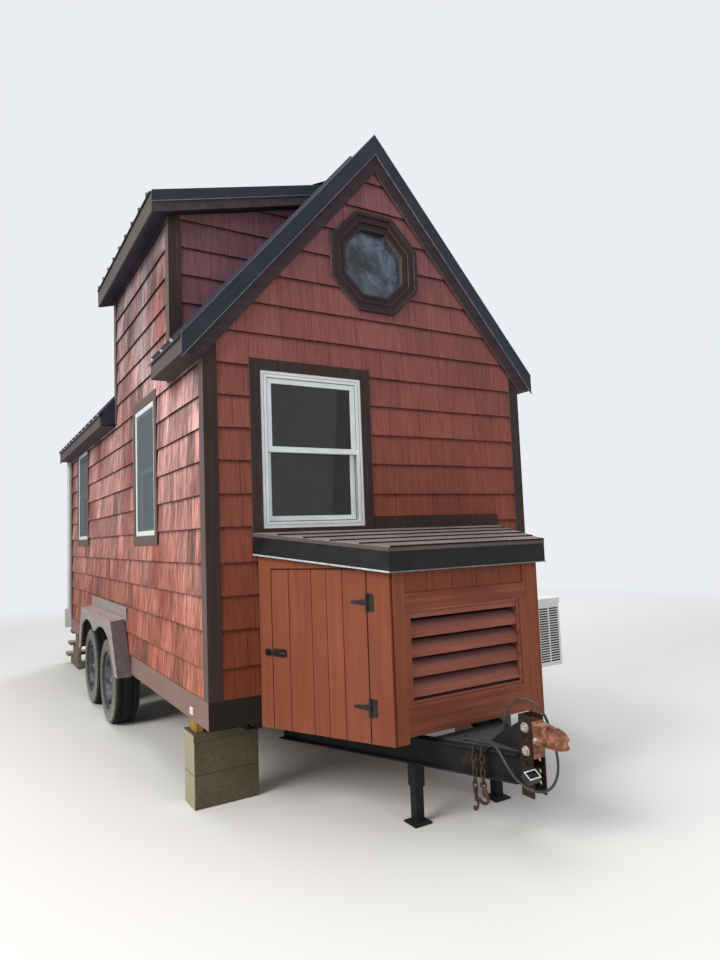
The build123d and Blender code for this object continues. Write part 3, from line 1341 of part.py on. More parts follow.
def build_box_door():
    nodes = {}
    t = box_board_t
    leaf = block(box_door_start, box_door_end, 0, t, box_bottom_z, box_door_top_z)
    for along in box_grooves:
        leaf = leaf.cut(block(along - groove_w / 2, along + groove_w / 2, -1, groove_depth, 0, far))
    nodes["box_door"] = side_frame(leaf)
    hinges = [build_hinge(z) for z in hinge_zs]
    latch, keeper = build_door_bolt()
    nodes["door_hardware"] = [side_frame(strap) for strap, _ in hinges] + [side_frame(latch)]
    nodes["frame_hardware"] = [side_frame(plate) for _, plate in hinges] + [side_frame(keeper)]
    return nodes


def build_hinge(z):
    """Surface T hinge at a height: the door's tapered strap, and the stile's plate with its pin."""
    a, p, half, y, r = hinge_axis_along, hinge_plate_t, hinge_strap_w / 2, hinge_axis_y, hinge_knuckle_r
    gap, tip = hinge_part, hinge_strap_tip / 2
    strap = prism_xz([(a - hinge_strap_l, z - tip), (a - gap, z - half), (a - gap, z + half),
                      (a - hinge_strap_l, z + tip)], -p, 0)
    knuckle = rod((a, y, z - half), (a, y, z + half), r)
    web = block(a - r, a - gap, y, -p, z - half, z + half)
    bore = rod((a, y, z - half - 1), (a, y, z + half + 1), hinge_pin_r + pin_clearance)
    leaf_half = hinge_leaf_h / 2
    plate = block(a + r + gap, a + hinge_leaf_w, -p, 0, z - leaf_half, z + leaf_half)
    for z0, z1 in ((z - leaf_half, z - half - pin_clearance), (z + half + pin_clearance, z + leaf_half)):
        plate = plate.fuse(rod((a, y, z0), (a, y, z1), r), block(a + gap, a + r + gap + 1, y, 0, z0, z1))
    pin = rod((a, y, z - leaf_half), (a, y, z + leaf_half), hinge_pin_r)
    return strap.fuse(knuckle, web).cut(bore), plate.fuse(pin)


def build_door_bolt():
    """Barrel bolt on the door's edge and its keeper on the stile."""
    x, z, y = box_door_start, latch_z, bolt_axis_y
    start, length, half_h, thick = latch_plate
    bolt = block(x + start, x + length, -thick, 0, z - half_h, z + half_h)
    bolt = bolt.fuse(rod((x + bolt_span[0], y, z), (x + bolt_span[1], y, z), bolt_r))
    start, end, half = bolt_saddle
    bolt = bolt.fuse(block(x + start, x + end, y, -thick / 2, z - half, z + half))
    place, reach, radius = bolt_handle
    bolt = bolt.fuse(rod((x + place, y, z), (x + place, y - reach, z - radius), radius))
    start, end, half_h = keeper_plate
    keeper = block(x - start, x - end, -thick, 0, z - half_h, z + half_h)
    start, end, half_h, reach = keeper_bow
    keeper = keeper.fuse(block(x - start, x - end, -reach, -thick / 2, z - half_h, z + half_h))
    return bolt, keeper


def build_ac():
    """Outdoor unit: case with slotted ends, fan opening with its guard, and a lid."""
    x0, x1 = ac_inner_x, ac_inner_x + ac_depth
    y0, y1 = ac_front_y, ac_front_y + ac_length
    z0, z1 = ac_bottom_z, ac_bottom_z + ac_height - ac_lid_h
    case = block(x0, x1, y0, y1, z0, z1)
    slot_w = (ac_depth - 2 * ac_slot_margin - ac_slot_rib) / 2
    first = (z0 + z1 - (ac_slot_count - 1) * ac_slot_pitch - ac_slot_h) / 2
    cuts = []
    for column in range(2):
        x = x0 + ac_slot_margin + column * (slot_w + ac_slot_rib)
        for i in range(ac_slot_count):
            z = first + i * ac_slot_pitch
            cuts.append(block(x, x + slot_w, y0 - 1, y0 + ac_slot_depth, z, z + ac_slot_h))
    yc, zc = y0 + ac_fan_y, (z0 + z1) / 2
    case = case.cut(*cuts, rod((x1 - ac_fan_recess, yc, zc), (x1 + 1, yc, zc), ac_fan_r))
    r, bar = ac_fan_r, ac_fan_bar
    step = 2 * r / (ac_fan_bar_count + 1)
    bars = [block(x1 - ac_fan_recess, x1 - bar / 2, yc - step, yc + step, zc - r, zc + r)]
    for i in range(ac_fan_bar_count):
        h = (i + 1) * step - r
        reach = (r ** 2 - h ** 2) ** 0.5 + bar
        bars.append(block(x1 - bar, x1, yc - reach, yc + reach, zc + h - bar / 2, zc + h + bar / 2))
    lap = ac_lid_lap
    lid = block(x0 - lap, x1 + lap, y0 - lap, y1 + lap, z1, z1 + ac_lid_h)
    return case.fuse(*bars, lid)


def build_services():
    nodes = {"ac_unit": build_ac()}
    x1 = ac_inner_x + ac_depth
    y0, y1, z0 = ac_front_y, ac_front_y + ac_length, ac_bottom_z
    arms = []
    for y in (y0 + ac_arm_front, y1 - ac_arm_rear):
        arm = block(half_width, x1 - ac_arm_short, y, y + ac_arm_w, z0 - ac_arm_t, z0)
        leg = block(half_width, half_width + ac_arm_t, y, y + ac_arm_w, z0, z0 + ac_leg_h)
        arms.append(arm.fuse(leg))
    nodes["ac_brackets"] = arms
    py = body_length + pipe_r + pipe_wall_gap
    bw, bd, bh = pipe_box
    pipe = rod((pipe_x, py, pipe_box_bottom_z + bh), (pipe_x, py, soffit_z), pipe_r)
    foot_box = block(pipe_x - bw / 2, pipe_x + bw / 2, body_length, body_length + bd, pipe_box_bottom_z,
                     pipe_box_bottom_z + bh)
    nodes["corner_pipe"] = pipe.fuse(foot_box)
    return nodes


def as_list(shape):
    return list(shape) if isinstance(shape, (list, tuple)) else [shape]


def assemble():
    nodes = {}
    nodes.update(build_walls())
    nodes.update(build_roof())
    trim_nodes, rake_metals = build_roof_trim()
    nodes.update(trim_nodes)
    nodes["rake_metal"] = rake_metals + nodes.pop("dormer_metal")
    nodes.update(build_boards())
    nodes.update(build_windows())
    nodes.update(build_entry())
    nodes.update(build_chassis())
    nodes.update(build_hitch())
    nodes.update(build_supports())
    nodes.update(build_running_gear())
    nodes.update(build_box())
    nodes.update(build_services())
    return nodes


nodes = {name: as_list(shape) for name, shape in assemble().items()}
boxes = [shape.bounding_box() for shapes in nodes.values() for shape in shapes]
origin_x = (min(box.min.X for box in boxes) + max(box.max.X for box in boxes)) / 2
origin_y = (min(box.min.Y for box in boxes) + max(box.max.Y for box in boxes)) / 2
shift = Pos(-origin_x, -origin_y, 0)

os.makedirs("parts", exist_ok=True)
for name, shapes in nodes.items():
    solids = [solid for shape in shapes for solid in (shift * shape).solids()]
    export_step(solids[0] if len(solids) == 1 else Compound(children=solids), f"parts/{name}.step")
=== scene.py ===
"""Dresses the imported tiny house: shingles, boards, metal, glass, light and camera.

House coordinates, used for all that is placed here, have x = 0 on the centreline,
y = 0 on the front face of the trim and z = 0 on the ground, in metres.
"""
import math
import random

import bmesh
import bpy
from mathutils import Matrix, Vector


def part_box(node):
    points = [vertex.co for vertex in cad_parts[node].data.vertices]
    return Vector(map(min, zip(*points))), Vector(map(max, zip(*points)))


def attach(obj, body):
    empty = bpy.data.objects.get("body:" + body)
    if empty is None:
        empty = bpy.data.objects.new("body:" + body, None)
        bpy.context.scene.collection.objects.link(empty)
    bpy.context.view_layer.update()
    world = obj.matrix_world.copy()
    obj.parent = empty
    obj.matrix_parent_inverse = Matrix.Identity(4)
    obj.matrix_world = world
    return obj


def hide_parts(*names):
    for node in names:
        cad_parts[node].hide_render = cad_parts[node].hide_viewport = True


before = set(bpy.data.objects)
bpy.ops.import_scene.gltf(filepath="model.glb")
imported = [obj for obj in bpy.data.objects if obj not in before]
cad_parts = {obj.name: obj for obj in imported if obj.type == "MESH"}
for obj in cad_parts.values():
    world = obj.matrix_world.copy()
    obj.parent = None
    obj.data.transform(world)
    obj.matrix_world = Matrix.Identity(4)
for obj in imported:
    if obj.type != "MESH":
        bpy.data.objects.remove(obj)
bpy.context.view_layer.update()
random.seed(11)

# How far the walls' faces lie behind the faces of the trim
WALL_SET = 0.02

wall_lo, wall_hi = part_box("end_walls")
HOUSE = Vector(((wall_lo[0] + wall_hi[0]) / 2, wall_lo[1] - WALL_SET, 0.0))

# Body and main roof, with the solids' sizes
HALF = 1.22
WALL_X = 1.2
LENGTH = 5.4
RIDGE_Z = 4.25
PITCH_ANGLE = math.radians(49)
PITCH = math.tan(PITCH_ANGLE)
PITCH_COS = math.cos(PITCH_ANGLE)
PITCH_SIN = math.sin(PITCH_ANGLE)
ROOF_DROP = 0.15 / PITCH_COS
RAKE_METAL = 0.088
FASCIA_X = 1.343
EAVE_X = 1.355
RIB_PITCH = 0.229
SOFFIT_Z = 2.59
SKIRT_TOP = 0.65

# Dormer: its two ends, slope, depth of its boards and metal, and its eave's x and z
DORMER = (0.69, 2.56)
DORMER_ANGLE = math.radians(15.4)
DORMER_RISE = math.tan(DORMER_ANGLE)
DORMER_COS = math.cos(DORMER_ANGLE)
DORMER_DROP = 0.145 / DORMER_COS
DORMER_METAL = 0.075
DORMER_TOP_DROP = 0.034
DORMER_EAVE = (-1.355, 3.843)

# Windows and entry: centre along the wall, width, foot and height
SIDE_WINDOWS = ((1.45, 0.60, 1.59, 0.97), (4.45, 0.64, 1.60, 0.98))
FRONT_WINDOW = (-0.52, 0.695, 1.596, 0.946)
ENTRY = (-0.62, 0.81, 0.68, 1.93)
SIDE_FRAME = 0.026
FRONT_FRAME = 0.038
WINDOW_FACE = 0.005

# Octagonal window: centre x and z, half width of its trim
OCTAGON = (-0.02, 3.35, 0.34)

# Tongue box: half widths at the front and at the wall, and its recessed front panel
BOX_FRONT_Y = -0.775
BOX_HALF = (0.52, 0.91)
BOX_PANEL_Y = BOX_FRONT_Y + 0.012
BOX_INNER = 0.428
BOX_PANEL_BOTTOM = 0.505
PANEL_RAIL_TOP = 1.230

# Its roof: height at the wall and at the front edge, reach, and half widths there
BOX_ROOF = (1.571, 1.470, 0.825)
BOX_ROOF_HALF = (0.545, 0.94)
BOX_FASCIA_H = 0.128

# Louvre: left, right, foot and top
LOUVRE = (-0.4015, 0.3735, 0.664, 1.143)

# Door of the box: where its hinges sit along the side, their heights, and the bolt's height
HINGE_ALONG = 0.733
HINGE_ZS = (0.655, 1.188)
BOLT_Z = 0.895

# Hitch: back of the post, faces under the bolts' heads, and the coupler's side nuts
POST_BACK_Y = -1.1495
HITCH_BOLT = (0.0449, -1.195)
HITCH_BOLT_ZS = (0.475, 0.585)
SIDE_NUT = (0.0395, -1.257, 0.540)

# Wheels and the knot on the fender's sloping top
WHEEL_YS = (2.565, 3.435)
WHEEL_X = 1.302 - 0.111
AXLE_Z = 0.36
HUB_FACE = 0.111 - 0.096 + 0.010
TREAD_HALF = 0.083
FENDER_KNOT = (-1.287, 2.90, 0.9095)

# Outdoor unit: left, right, front face, foot and top of its grille
AC = (1.345, 1.580, 0.050, 0.495, 0.960)

# Lamp on the skirt: two opposite corners behind its outer face
LAMP = ((0.262, 0.534), (0.318, 0.576))

# Heights of the shingles' butts
BUTTS = (0.632, 0.820, 1.030, 1.220, 1.407, 1.610, 1.800, 1.995, 2.187, 2.377, 2.567, 2.765, 2.956, 3.145,
         3.340, 3.532, 3.724, 3.916, 4.108, 4.300)
SHINGLE_LAP = 0.012
SHINGLE_GAP = 0.0026
SHINGLE_THICK = (0.0165, 0.003)
NARROW = (0.10, 0.27)
WIDE = (0.15, 0.36)

# The trailer cable's route, as in the solids' source
CABLE_D = 0.013
CABLE_ROUTE = (
    (-0.122, -0.872, 0.466), (-0.110, -0.915, 0.466), (-0.104, -0.961, 0.470), (-0.106, -1.009, 0.477),
    (-0.115, -1.055, 0.478), (-0.125, -1.095, 0.459), (-0.124, -1.126, 0.422), (-0.113, -1.150, 0.381),
    (-0.099, -1.180, 0.344), (-0.081, -1.217, 0.318), (-0.051, -1.248, 0.302), (-0.008, -1.267, 0.297),
    (0.038, -1.270, 0.308), (0.078, -1.262, 0.336), (0.106, -1.250, 0.377), (0.117, -1.238, 0.424),
    (0.115, -1.228, 0.473), (0.107, -1.220, 0.521), (0.098, -1.213, 0.568), (0.088, -1.202, 0.615),
    (0.073, -1.182, 0.656), (0.052, -1.152, 0.684), (0.030, -1.114, 0.694), (0.013, -1.074, 0.682),
    (0.004, -1.040, 0.651), (0.001, -1.016, 0.609), (0.000, -1.001, 0.562), (0.000, -0.996, 0.517),
    (0.000, -0.996, 0.484))

# Breakaway switch: centre of its open face, half sizes, rim width and tilt
SWITCH = (-0.086, -1.2696, 0.393)
SWITCH_HALF = (0.037, 0.0245)
SWITCH_RIM = 0.006
SWITCH_TILT = math.radians(33)


def at(x, y, z):
    """House coordinates to the row's frame."""
    return HOUSE + Vector((x, y, z))


def srgb(*levels):
    """A colour given in sRGB bytes, as a linear colour with full alpha."""
    parts = [level / 255 for level in levels]
    return tuple(c / 12.92 if c <= 0.04045 else ((c + 0.055) / 1.055) ** 2.4 for c in parts) + (1.0,)


def show(name, data):
    """A new object in the scene."""
    obj = bpy.data.objects.new(name, data)
    bpy.context.scene.collection.objects.link(obj)
    return obj


def set_camera():
    """The photograph's camera: its direction, lens and place."""
    yaw, pitch, roll = 0.5415, 0.0829, -0.0373
    fwd = Vector((math.sin(yaw) * math.cos(pitch), math.cos(yaw) * math.cos(pitch), math.sin(pitch)))
    right = Vector((math.cos(yaw), -math.sin(yaw), 0))
    up = right.cross(fwd)
    rolled_right = right * math.cos(roll) + up * math.sin(roll)
    rolled_up = up * math.cos(roll) - right * math.sin(roll)
    data = bpy.data.cameras.new("camera")
    data.sensor_width = 36.0
    data.lens = 24.74
    data.clip_end = 200
    camera = show("camera", data)
    turn = Matrix((rolled_right, rolled_up, -fwd)).transposed().to_4x4()
    camera.matrix_world = Matrix.Translation(at(-2.372, -3.609, 1.538)) @ turn
    bpy.context.scene.camera = camera


def lay_cable():
    """The trailer cable, one smooth curve from the deck round the post and back."""
    curve = bpy.data.curves.new("trailer_cord", "CURVE")
    curve.dimensions = "3D"
    curve.bevel_depth = 1.0
    curve.bevel_resolution = 4
    curve.use_fill_caps = True
    spline = curve.splines.new("NURBS")
    spline.points.add(len(CABLE_ROUTE) - 1)
    for point, place in zip(spline.points, CABLE_ROUTE):
        point.co = (*at(*place), 1.0)
        point.radius = CABLE_D / 2
    spline.order_u = 3
    spline.use_endpoint_u = True
    spline.resolution_u = 8
    piece = show("trailer_cord", curve)
    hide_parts("trailer_cable")
    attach(piece, "house")
    return piece


set_camera()
cable = lay_cable()

MATERIALS = {}


class Paint:
    """A procedural material: a principled shader and helpers that feed it."""

    def __init__(self, name, rough=0.6, metallic=0.0, base=None, specular=0.5):
        self.mat = MATERIALS[name] = bpy.data.materials.new(name)
        self.mat.use_nodes = True
        self.tree = self.mat.node_tree
        self.shader = self.tree.nodes["Principled BSDF"]
        self.set("Roughness", rough)
        self.set("Metallic", metallic)
        self.set("Specular IOR Level", specular)
        if base:
            self.set("Base Color", base)
        coords = self.add("TexCoord")
        self.place = coords.outputs["Object"]
        self.normal = coords.outputs["Normal"]

    def add(self, kind, sockets=(), **props):
        """A new shader node with its properties set and its sockets linked."""
        node = self.tree.nodes.new("ShaderNode" + kind)
        for key, value in props.items():
            setattr(node, key, value)
        for socket, value in dict(sockets).items():
            self.link(value, node.inputs[socket])
        return node

    def set(self, socket, value):
        self.shader.inputs[socket].default_value = value

    def feed(self, socket, output):
        self.tree.links.new(output, self.shader.inputs[socket])

    def link(self, output, socket):
        """Links an output to a socket, or sets the socket to a plain value."""
        if isinstance(output, (int, float, tuple)):
            socket.default_value = output
        else:
            self.tree.links.new(output, socket)

    def noise(self, scale, detail=4.0, rough=0.55, stretch=(1, 1, 1), warp=0.0):
        """Noise in object space; a small stretch value makes it run along that axis."""
        mapping = self.add("Mapping", {"Vector": self.place, "Scale": stretch})
        node = self.add("TexNoise", {"Vector": mapping.outputs["Vector"], "Scale": scale, "Detail": detail,
                                     "Roughness": rough, "Distortion": warp})
        return node.outputs["Fac"]

    def ramp(self, fac, *stops):
        """A colour ramp from (position, level) stops; a level is a grey value or a colour in bytes."""
        node = self.add("ValToRGB", {"Fac": fac})
        elements = node.color_ramp.elements
        elements[1].position = stops[-1][0]
        elements[0].position = stops[0][0]
        for pos, _ in stops[1:-1]:
            elements.new(pos)
        for element, (_, level) in zip(elements, stops):
            element.color = srgb(*level) if isinstance(level, tuple) else (level, level, level, 1)
        return node.outputs["Color"]

    def mix(self, fac, a, b, mode="MIX"):
        return self.add("Mix", {0: fac, 6: a, 7: b}, data_type="RGBA", blend_type=mode).outputs[2]

    def maths(self, op, a, b=0.0):
        return self.add("Math", {0: a, 1: b}, operation=op).outputs[0]

    def tint(self, colour, factor):
        """The colour times a grey factor."""
        return self.mix(1.0, colour, factor, "MULTIPLY")

    def attribute(self, name):
        return self.add("Attribute", attribute_name=name).outputs["Fac"]

    def axis(self, name, source=None):
        return self.add("SeparateXYZ", {0: source or self.place}).outputs[name]

    def off(self, name, middle):
        """Distance along an axis from a place on it."""
        return self.maths("ABSOLUTE", self.maths("SUBTRACT", self.axis(name), middle))

    def sunlit_faces(self, edge=0.55):
        """1 on faces that look to the left side, where sunlight is painted, 0 on the others."""
        return self.maths("GREATER_THAN", self.maths("MULTIPLY", self.axis("X", self.normal), -1.0), edge)

    def upward(self, edge=0.55):
        """1 on faces that look up, 0 on the others."""
        return self.maths("GREATER_THAN", self.axis("Z", self.normal), edge)

    def bump(self, height, strength, distance=0.002):
        node = self.add("Bump", {"Strength": strength, "Distance": distance, "Height": height})
        self.feed("Normal", node.outputs["Normal"])


def grain_paint(name, stops, stretch, rough=0.7, depth=0.5, tone=False, sun=None, top=None, top_shade=None,
                spread=0.25):
    """Stained or painted wood with streaks along the axis whose stretch is small."""
    p = Paint(name, rough, specular=0.22)
    streak = p.noise(34, 6, 0.62, stretch)
    blotch = p.noise(2.6, 3, 0.5)
    dark, mid, light = stops
    colour = p.ramp(streak, (0.53 - spread, dark), (0.53, mid), (0.53 + spread, light))
    colour = p.mix(p.ramp(blotch, (0.35, 0.0), (0.7, 0.45)), colour, srgb(*dark))
    # Painted light: sun gives paler colours, painted sunlight, on faces that look left; top gives paler
    # colours on faces that look up, painted skylight on the fender's top.
    for paler, where in ((sun, p.sunlit_faces), (top, p.upward)):
        if paler:
            low, high = paler
            pale = p.ramp(streak, (0.5 - spread, low), (0.5 + spread, high))
            pale = p.mix(p.ramp(blotch, (0.4, 0.0), (0.75, 0.4)), pale, srgb(*low))
            colour = p.mix(where(), colour, pale)
    # Painted shade: this colour darkens faces that look up, the slats' tops under the slat above.
    if top_shade:
        shade_on_top = p.ramp(p.axis("Z", p.normal), (0.25, 0.0), (0.8, 0.9))
        colour = p.mix(shade_on_top, colour, srgb(*top_shade))
    if tone:
        colour = p.tint(colour, p.ramp(p.attribute("tone"), (0.0, 0.80), (1.0, 1.16)))
    p.feed("Base Color", colour)
    p.feed("Roughness", p.ramp(streak, (0.2, rough - 0.1), (0.9, rough + 0.12)))
    p.bump(streak, depth, 0.0015)


def shingle_paint(name, low, mid, high, contrast, sheen_free=None):
    """Stained shakes: colour by height, combed streaks, each one's tone, and painted shade under each butt
    and along its lower edge.
    """
    p = Paint(name, 0.78, specular=0.22)
    height = p.maths("MULTIPLY", p.axis("Z"), 0.25)
    colour = p.ramp(height, (0.2, low), (0.55, mid), (0.9, high))
    streak = p.noise(62, 7, 0.7, (1, 1, 0.04))
    comb = p.noise(150, 3, 0.6, (1, 1, 0.02))
    broad = p.noise(7, 4, 0.6, (1, 1, 0.3))
    dark, pale = contrast
    # Patches of the stain's own red, where the painted sheen leaves off.
    if sheen_free:
        patch = p.noise(1.4, 4, 0.6, (1, 1, 0.8))
        colour = p.mix(p.ramp(patch, (0.44, 0.0), (0.66, 0.75)), colour, srgb(*sheen_free))
    colour = p.tint(colour, p.ramp(streak, (0.38, dark), (0.5, 1.0), (0.63, pale)))
    colour = p.tint(colour, p.ramp(comb, (0.3, (dark + 1) / 2), (0.6, (pale + 1) / 2)))
    colour = p.tint(colour, p.ramp(broad, (0.35, 1.08), (0.7, (dark + 1) / 2)))
    tone = p.ramp(p.attribute("tone"), (0.0, 0.2 + 0.8 * dark), (1.0, 0.4 + 0.62 * pale))
    colour = p.tint(colour, tone)
    # Painted shade: darker along the tab's lower edge and just under the next course's butt.
    rise = p.attribute("rise")
    colour = p.tint(colour, p.ramp(rise, (0.0, 0.7), (0.035, 1.0), (0.82, 1.0), (0.985, 0.3)))
    p.feed("Base Color", colour)
    p.feed("Roughness", p.ramp(streak, (0.3, 0.9), (0.75, 0.62)))
    p.bump(p.maths("ADD", streak, p.maths("MULTIPLY", comb, 0.6)), 0.6, 0.0022)


def plain_paint(name, stops, scale=12, rough=(0.35, 0.35), metallic=0.0, specular=0.4, bump=(40, 0.08)):
    """Enamel, plastic or metal with a slow change of colour and a fine surface."""
    p = Paint(name, rough[0], metallic, specular=specular)
    wear = p.noise(scale, 5, 0.6)
    p.feed("Base Color", p.ramp(wear, (0.3, stops[0]), (0.75, stops[1])))
    if rough[0] != rough[1]:
        p.feed("Roughness", p.ramp(p.noise(scale * 2, 4), (0.3, rough[0]), (0.75, rough[1])))
    p.bump(p.noise(bump[0], 3), bump[1], 0.001)


def rusted_paint(name, paint, rust, patch_from, rough=(0.5, 0.82), metallic=0.2, top=None):
    """Old steel: enamel or mill scale, with patches of rust, and paler faces that look up: dust and a
    painted highlight.
    """
    p = Paint(name, rough[0], metallic, specular=0.25)
    patch = p.noise(7, 6, 0.65)
    fine = p.noise(80, 4, 0.6)
    colour = p.ramp(fine, (0.3, paint[0]), (0.75, paint[1]))
    flake = p.ramp(fine, (0.3, rust[0]), (0.75, rust[1]))
    colour = p.mix(p.ramp(patch, (patch_from, 0.0), (patch_from + 0.14, 0.85)), colour, flake)
    if top:
        colour = p.mix(p.upward(0.8), colour, p.ramp(fine, (0.3, top[0]), (0.75, top[1])))
    p.feed("Base Color", colour)
    p.feed("Roughness", p.ramp(patch, (0.4, rough[0]), (0.8, rough[1])))
    p.bump(fine, 0.4, 0.001)
    p.colour = colour
    return p


# Stretch of the noise that draws the grain, small along the wood
GRAIN_UP = (1.0, 1.0, 0.045)
GRAIN_X = (0.045, 1.0, 1.0)
GRAIN_Y = (1.0, 0.045, 1.0)


def siding_paints():
    """Lit and shaded copies of the shingles' stain: painted shade on the front, rear and right walls,
    painted sunlight and sheen on the left, and deeper painted shade under the dormer's eave.
    """
    shingle_paint("shingle_shade", (103, 48, 28), (120, 68, 58), (116, 74, 77), (0.84, 1.13))
    shingle_paint("shingle_sunlit_sheen", (152, 94, 78), (169, 128, 124), (141, 135, 142), (0.36, 1.6), (124, 58, 44))
    shingle_paint("shingle_eave_shade", (100, 62, 64), (102, 66, 70), (102, 69, 76), (0.82, 1.14))


def butt_paint():
    """The lower face of a shingle's butt, painted near black as the shade under it."""
    p = Paint("butt_shade", 0.9, specular=0.1)
    p.feed("Base Color", p.ramp(p.noise(90, 4), (0.3, (26, 13, 12)), (0.8, (54, 28, 24))))
    p.bump(p.noise(160, 3), 0.4, 0.001)


def sheathing_paint():
    """Bare boards inside the house; their outer faces behind the shingles are painted dark as the shade in
    the gaps between shingles.
    """
    p = Paint("sheathing", 0.75)
    knots = p.noise(26, 5, 0.6, GRAIN_UP)
    inside = p.ramp(knots, (0.3, (96, 76, 54)), (0.6, (124, 102, 76)), (0.85, (140, 118, 90)))
    beside = p.maths("GREATER_THAN", p.off("X", HOUSE.x), WALL_X - 0.03)
    beyond = p.maths("GREATER_THAN", p.off("Y", HOUSE.y + LENGTH / 2), LENGTH / 2 - 0.05)
    outside = p.maths("MAXIMUM", beside, beyond)
    # Outer faces, behind the shingles: painted shade for the gaps.
    p.feed("Base Color", p.mix(outside, inside, srgb(48, 26, 22)))
    p.bump(knots, 0.3)


def trim_paints():
    """Brown boards of the house, the skirt and the greyed fender, with painted sunlight on faces that look
    left and painted skylight on the fender's top.
    """
    brown = ((37, 27, 27), (52, 38, 38), (69, 54, 53))
    grain_paint("trim", brown, GRAIN_UP, 0.66, depth=0.3, sun=((74, 60, 58), (100, 84, 80)))
    grain_paint("rake_wood", ((36, 27, 31), (49, 38, 43), (64, 53, 58)), GRAIN_X, 0.66, depth=0.3,
                sun=((74, 60, 62), (100, 84, 84)))
    grain_paint("trim_y", ((46, 40, 42), (62, 56, 59), (80, 72, 76)), GRAIN_Y, 0.66, depth=0.3,
                sun=((62, 56, 56), (86, 78, 76)))
    grain_paint("skirt", ((18, 10, 9), (25, 15, 14), (36, 25, 23)), GRAIN_X, 0.6, depth=0.25,
                sun=((104, 82, 76), (136, 110, 103)))
    grain_paint("fender", ((74, 64, 65), (90, 80, 81), (110, 99, 100)), GRAIN_Y, 0.62, depth=0.3,
                sun=((124, 114, 113), (160, 150, 148)), top=((146, 128, 124), (180, 163, 157)))


def locker_paints():
    """The tongue box's stained boards, panels and slats, with painted sunlight on the left faces and painted
    shade on the slats' upward faces.
    """
    stain = ((96, 48, 31), (120, 64, 43), (138, 78, 56))
    grain_paint("locker", stain, GRAIN_UP, 0.62, tone=True, sun=((106, 53, 34), (136, 75, 50)), spread=0.3)
    grain_paint("locker_x", ((86, 42, 28), (114, 62, 44), (136, 80, 60)), GRAIN_X, 0.62, tone=True)
    grain_paint("slat", ((106, 58, 46), (130, 75, 61), (152, 98, 84)), GRAIN_X, 0.6, depth=0.25,
                top_shade=(92, 66, 64))
    grain_paint("cad_locker", stain, GRAIN_UP, 0.62, sun=((104, 52, 34), (134, 74, 50)), spread=0.34)


def timber_paints():
    """Unpainted wood: the floor, the rear steps and the crib's shims."""
    grain_paint("floor_wood", ((96, 70, 46), (134, 102, 70), (164, 132, 96)), GRAIN_X, 0.7)
    grain_paint("step", ((82, 70, 60), (112, 98, 86), (146, 132, 116)), GRAIN_X, 0.8,
                top=((132, 122, 110), (172, 162, 150)))
    grain_paint("shim", ((108, 78, 36), (158, 120, 62), (190, 154, 92)), GRAIN_UP, 0.8)


def even_paints():
    """Enamel, plastic and metal that change little over their surface."""
    plain_paint("roof", ((26, 29, 41), (38, 42, 56)), 5, (0.42, 0.56), specular=0.25, bump=(3, 0.08))
    plain_paint("black", ((10, 12, 12), (24, 27, 27)), 9, (0.3, 0.4), specular=0.28, bump=(4, 0.12))
    # Pale edge metal standing in for light: the bright one paints sunlight on the box's left drip edge and
    # highlights on the rib ends, the dim one paints shade on the box's other drip edges and highlight lines
    # on the roof's metal.
    plain_paint("edge_light_bright", ((150, 156, 164), (206, 210, 214)), 30, (0.3, 0.4), metallic=0.35)
    plain_paint("edge_light_dim", ((88, 88, 92), (128, 128, 132)), 30, (0.4, 0.5), metallic=0.3)
    plain_paint("hardware", ((20, 20, 22), (58, 50, 46)), 60, (0.42, 0.55), 0.5, bump=(120, 0.25))
    plain_paint("vinyl", ((188, 192, 194), (208, 212, 214)), 7, (0.36, 0.36))
    # Grey lines of painted shade in the front window's frame.
    plain_paint("groove_shade", ((74, 79, 78), (98, 103, 102)), 20, (0.5, 0.5), specular=0.2)
    plain_paint("zinc", ((128, 122, 116), (222, 218, 212)), 90, (0.32, 0.45), 0.55, bump=(150, 0.2))
    plain_paint("cap", ((168, 172, 178), (220, 224, 228)), 40, (0.16, 0.24), 0.9, bump=(60, 0.05))
    plain_paint("ac", ((188, 191, 188), (208, 210, 206)), 8, (0.42, 0.42), bump=(90, 0.08))
    # Near black: painted shade in the grille's slots and the sash gaps, and the fender's knot.
    plain_paint("knot_and_painted_shade", ((10, 12, 14), (22, 24, 27)), 30, (0.6, 0.6), specular=0.2)
    plain_paint("pvc", ((168, 174, 174), (192, 198, 197)), 12, (0.38, 0.38), bump=(40, 0.06))
    plain_paint("cable", ((40, 42, 42), (78, 80, 78)), 30, (0.55, 0.68), bump=(160, 0.2), specular=0.3)
    plain_paint("plastic", ((16, 17, 18), (34, 35, 36)), 40, (0.45, 0.55), bump=(120, 0.2))
    plain_paint("marker", ((186, 186, 182), (214, 214, 210)), 60, (0.4, 0.4))


def box_shingle_paint():
    """Mineral shingles of the tongue box's roof, with a tone each and painted shade at both edges of each
    course.
    """
    p = Paint("box_shingle", 0.82, specular=0.2)
    speck = p.noise(160, 4, 0.7)
    colour = p.ramp(speck, (0.3, (88, 78, 77)), (0.55, (130, 119, 118)), (0.8, (164, 153, 151)))
    colour = p.tint(colour, p.ramp(p.attribute("tone"), (0.0, 0.78), (1.0, 1.2)))
    # Painted shade: darker along the butt and just under the next course's butt.
    rise = p.ramp(p.attribute("rise"), (0.0, 0.55), (0.05, 1.0), (0.86, 1.0), (0.97, 0.25))
    p.feed("Base Color", p.tint(colour, rise))
    p.bump(speck, 0.5, 0.002)


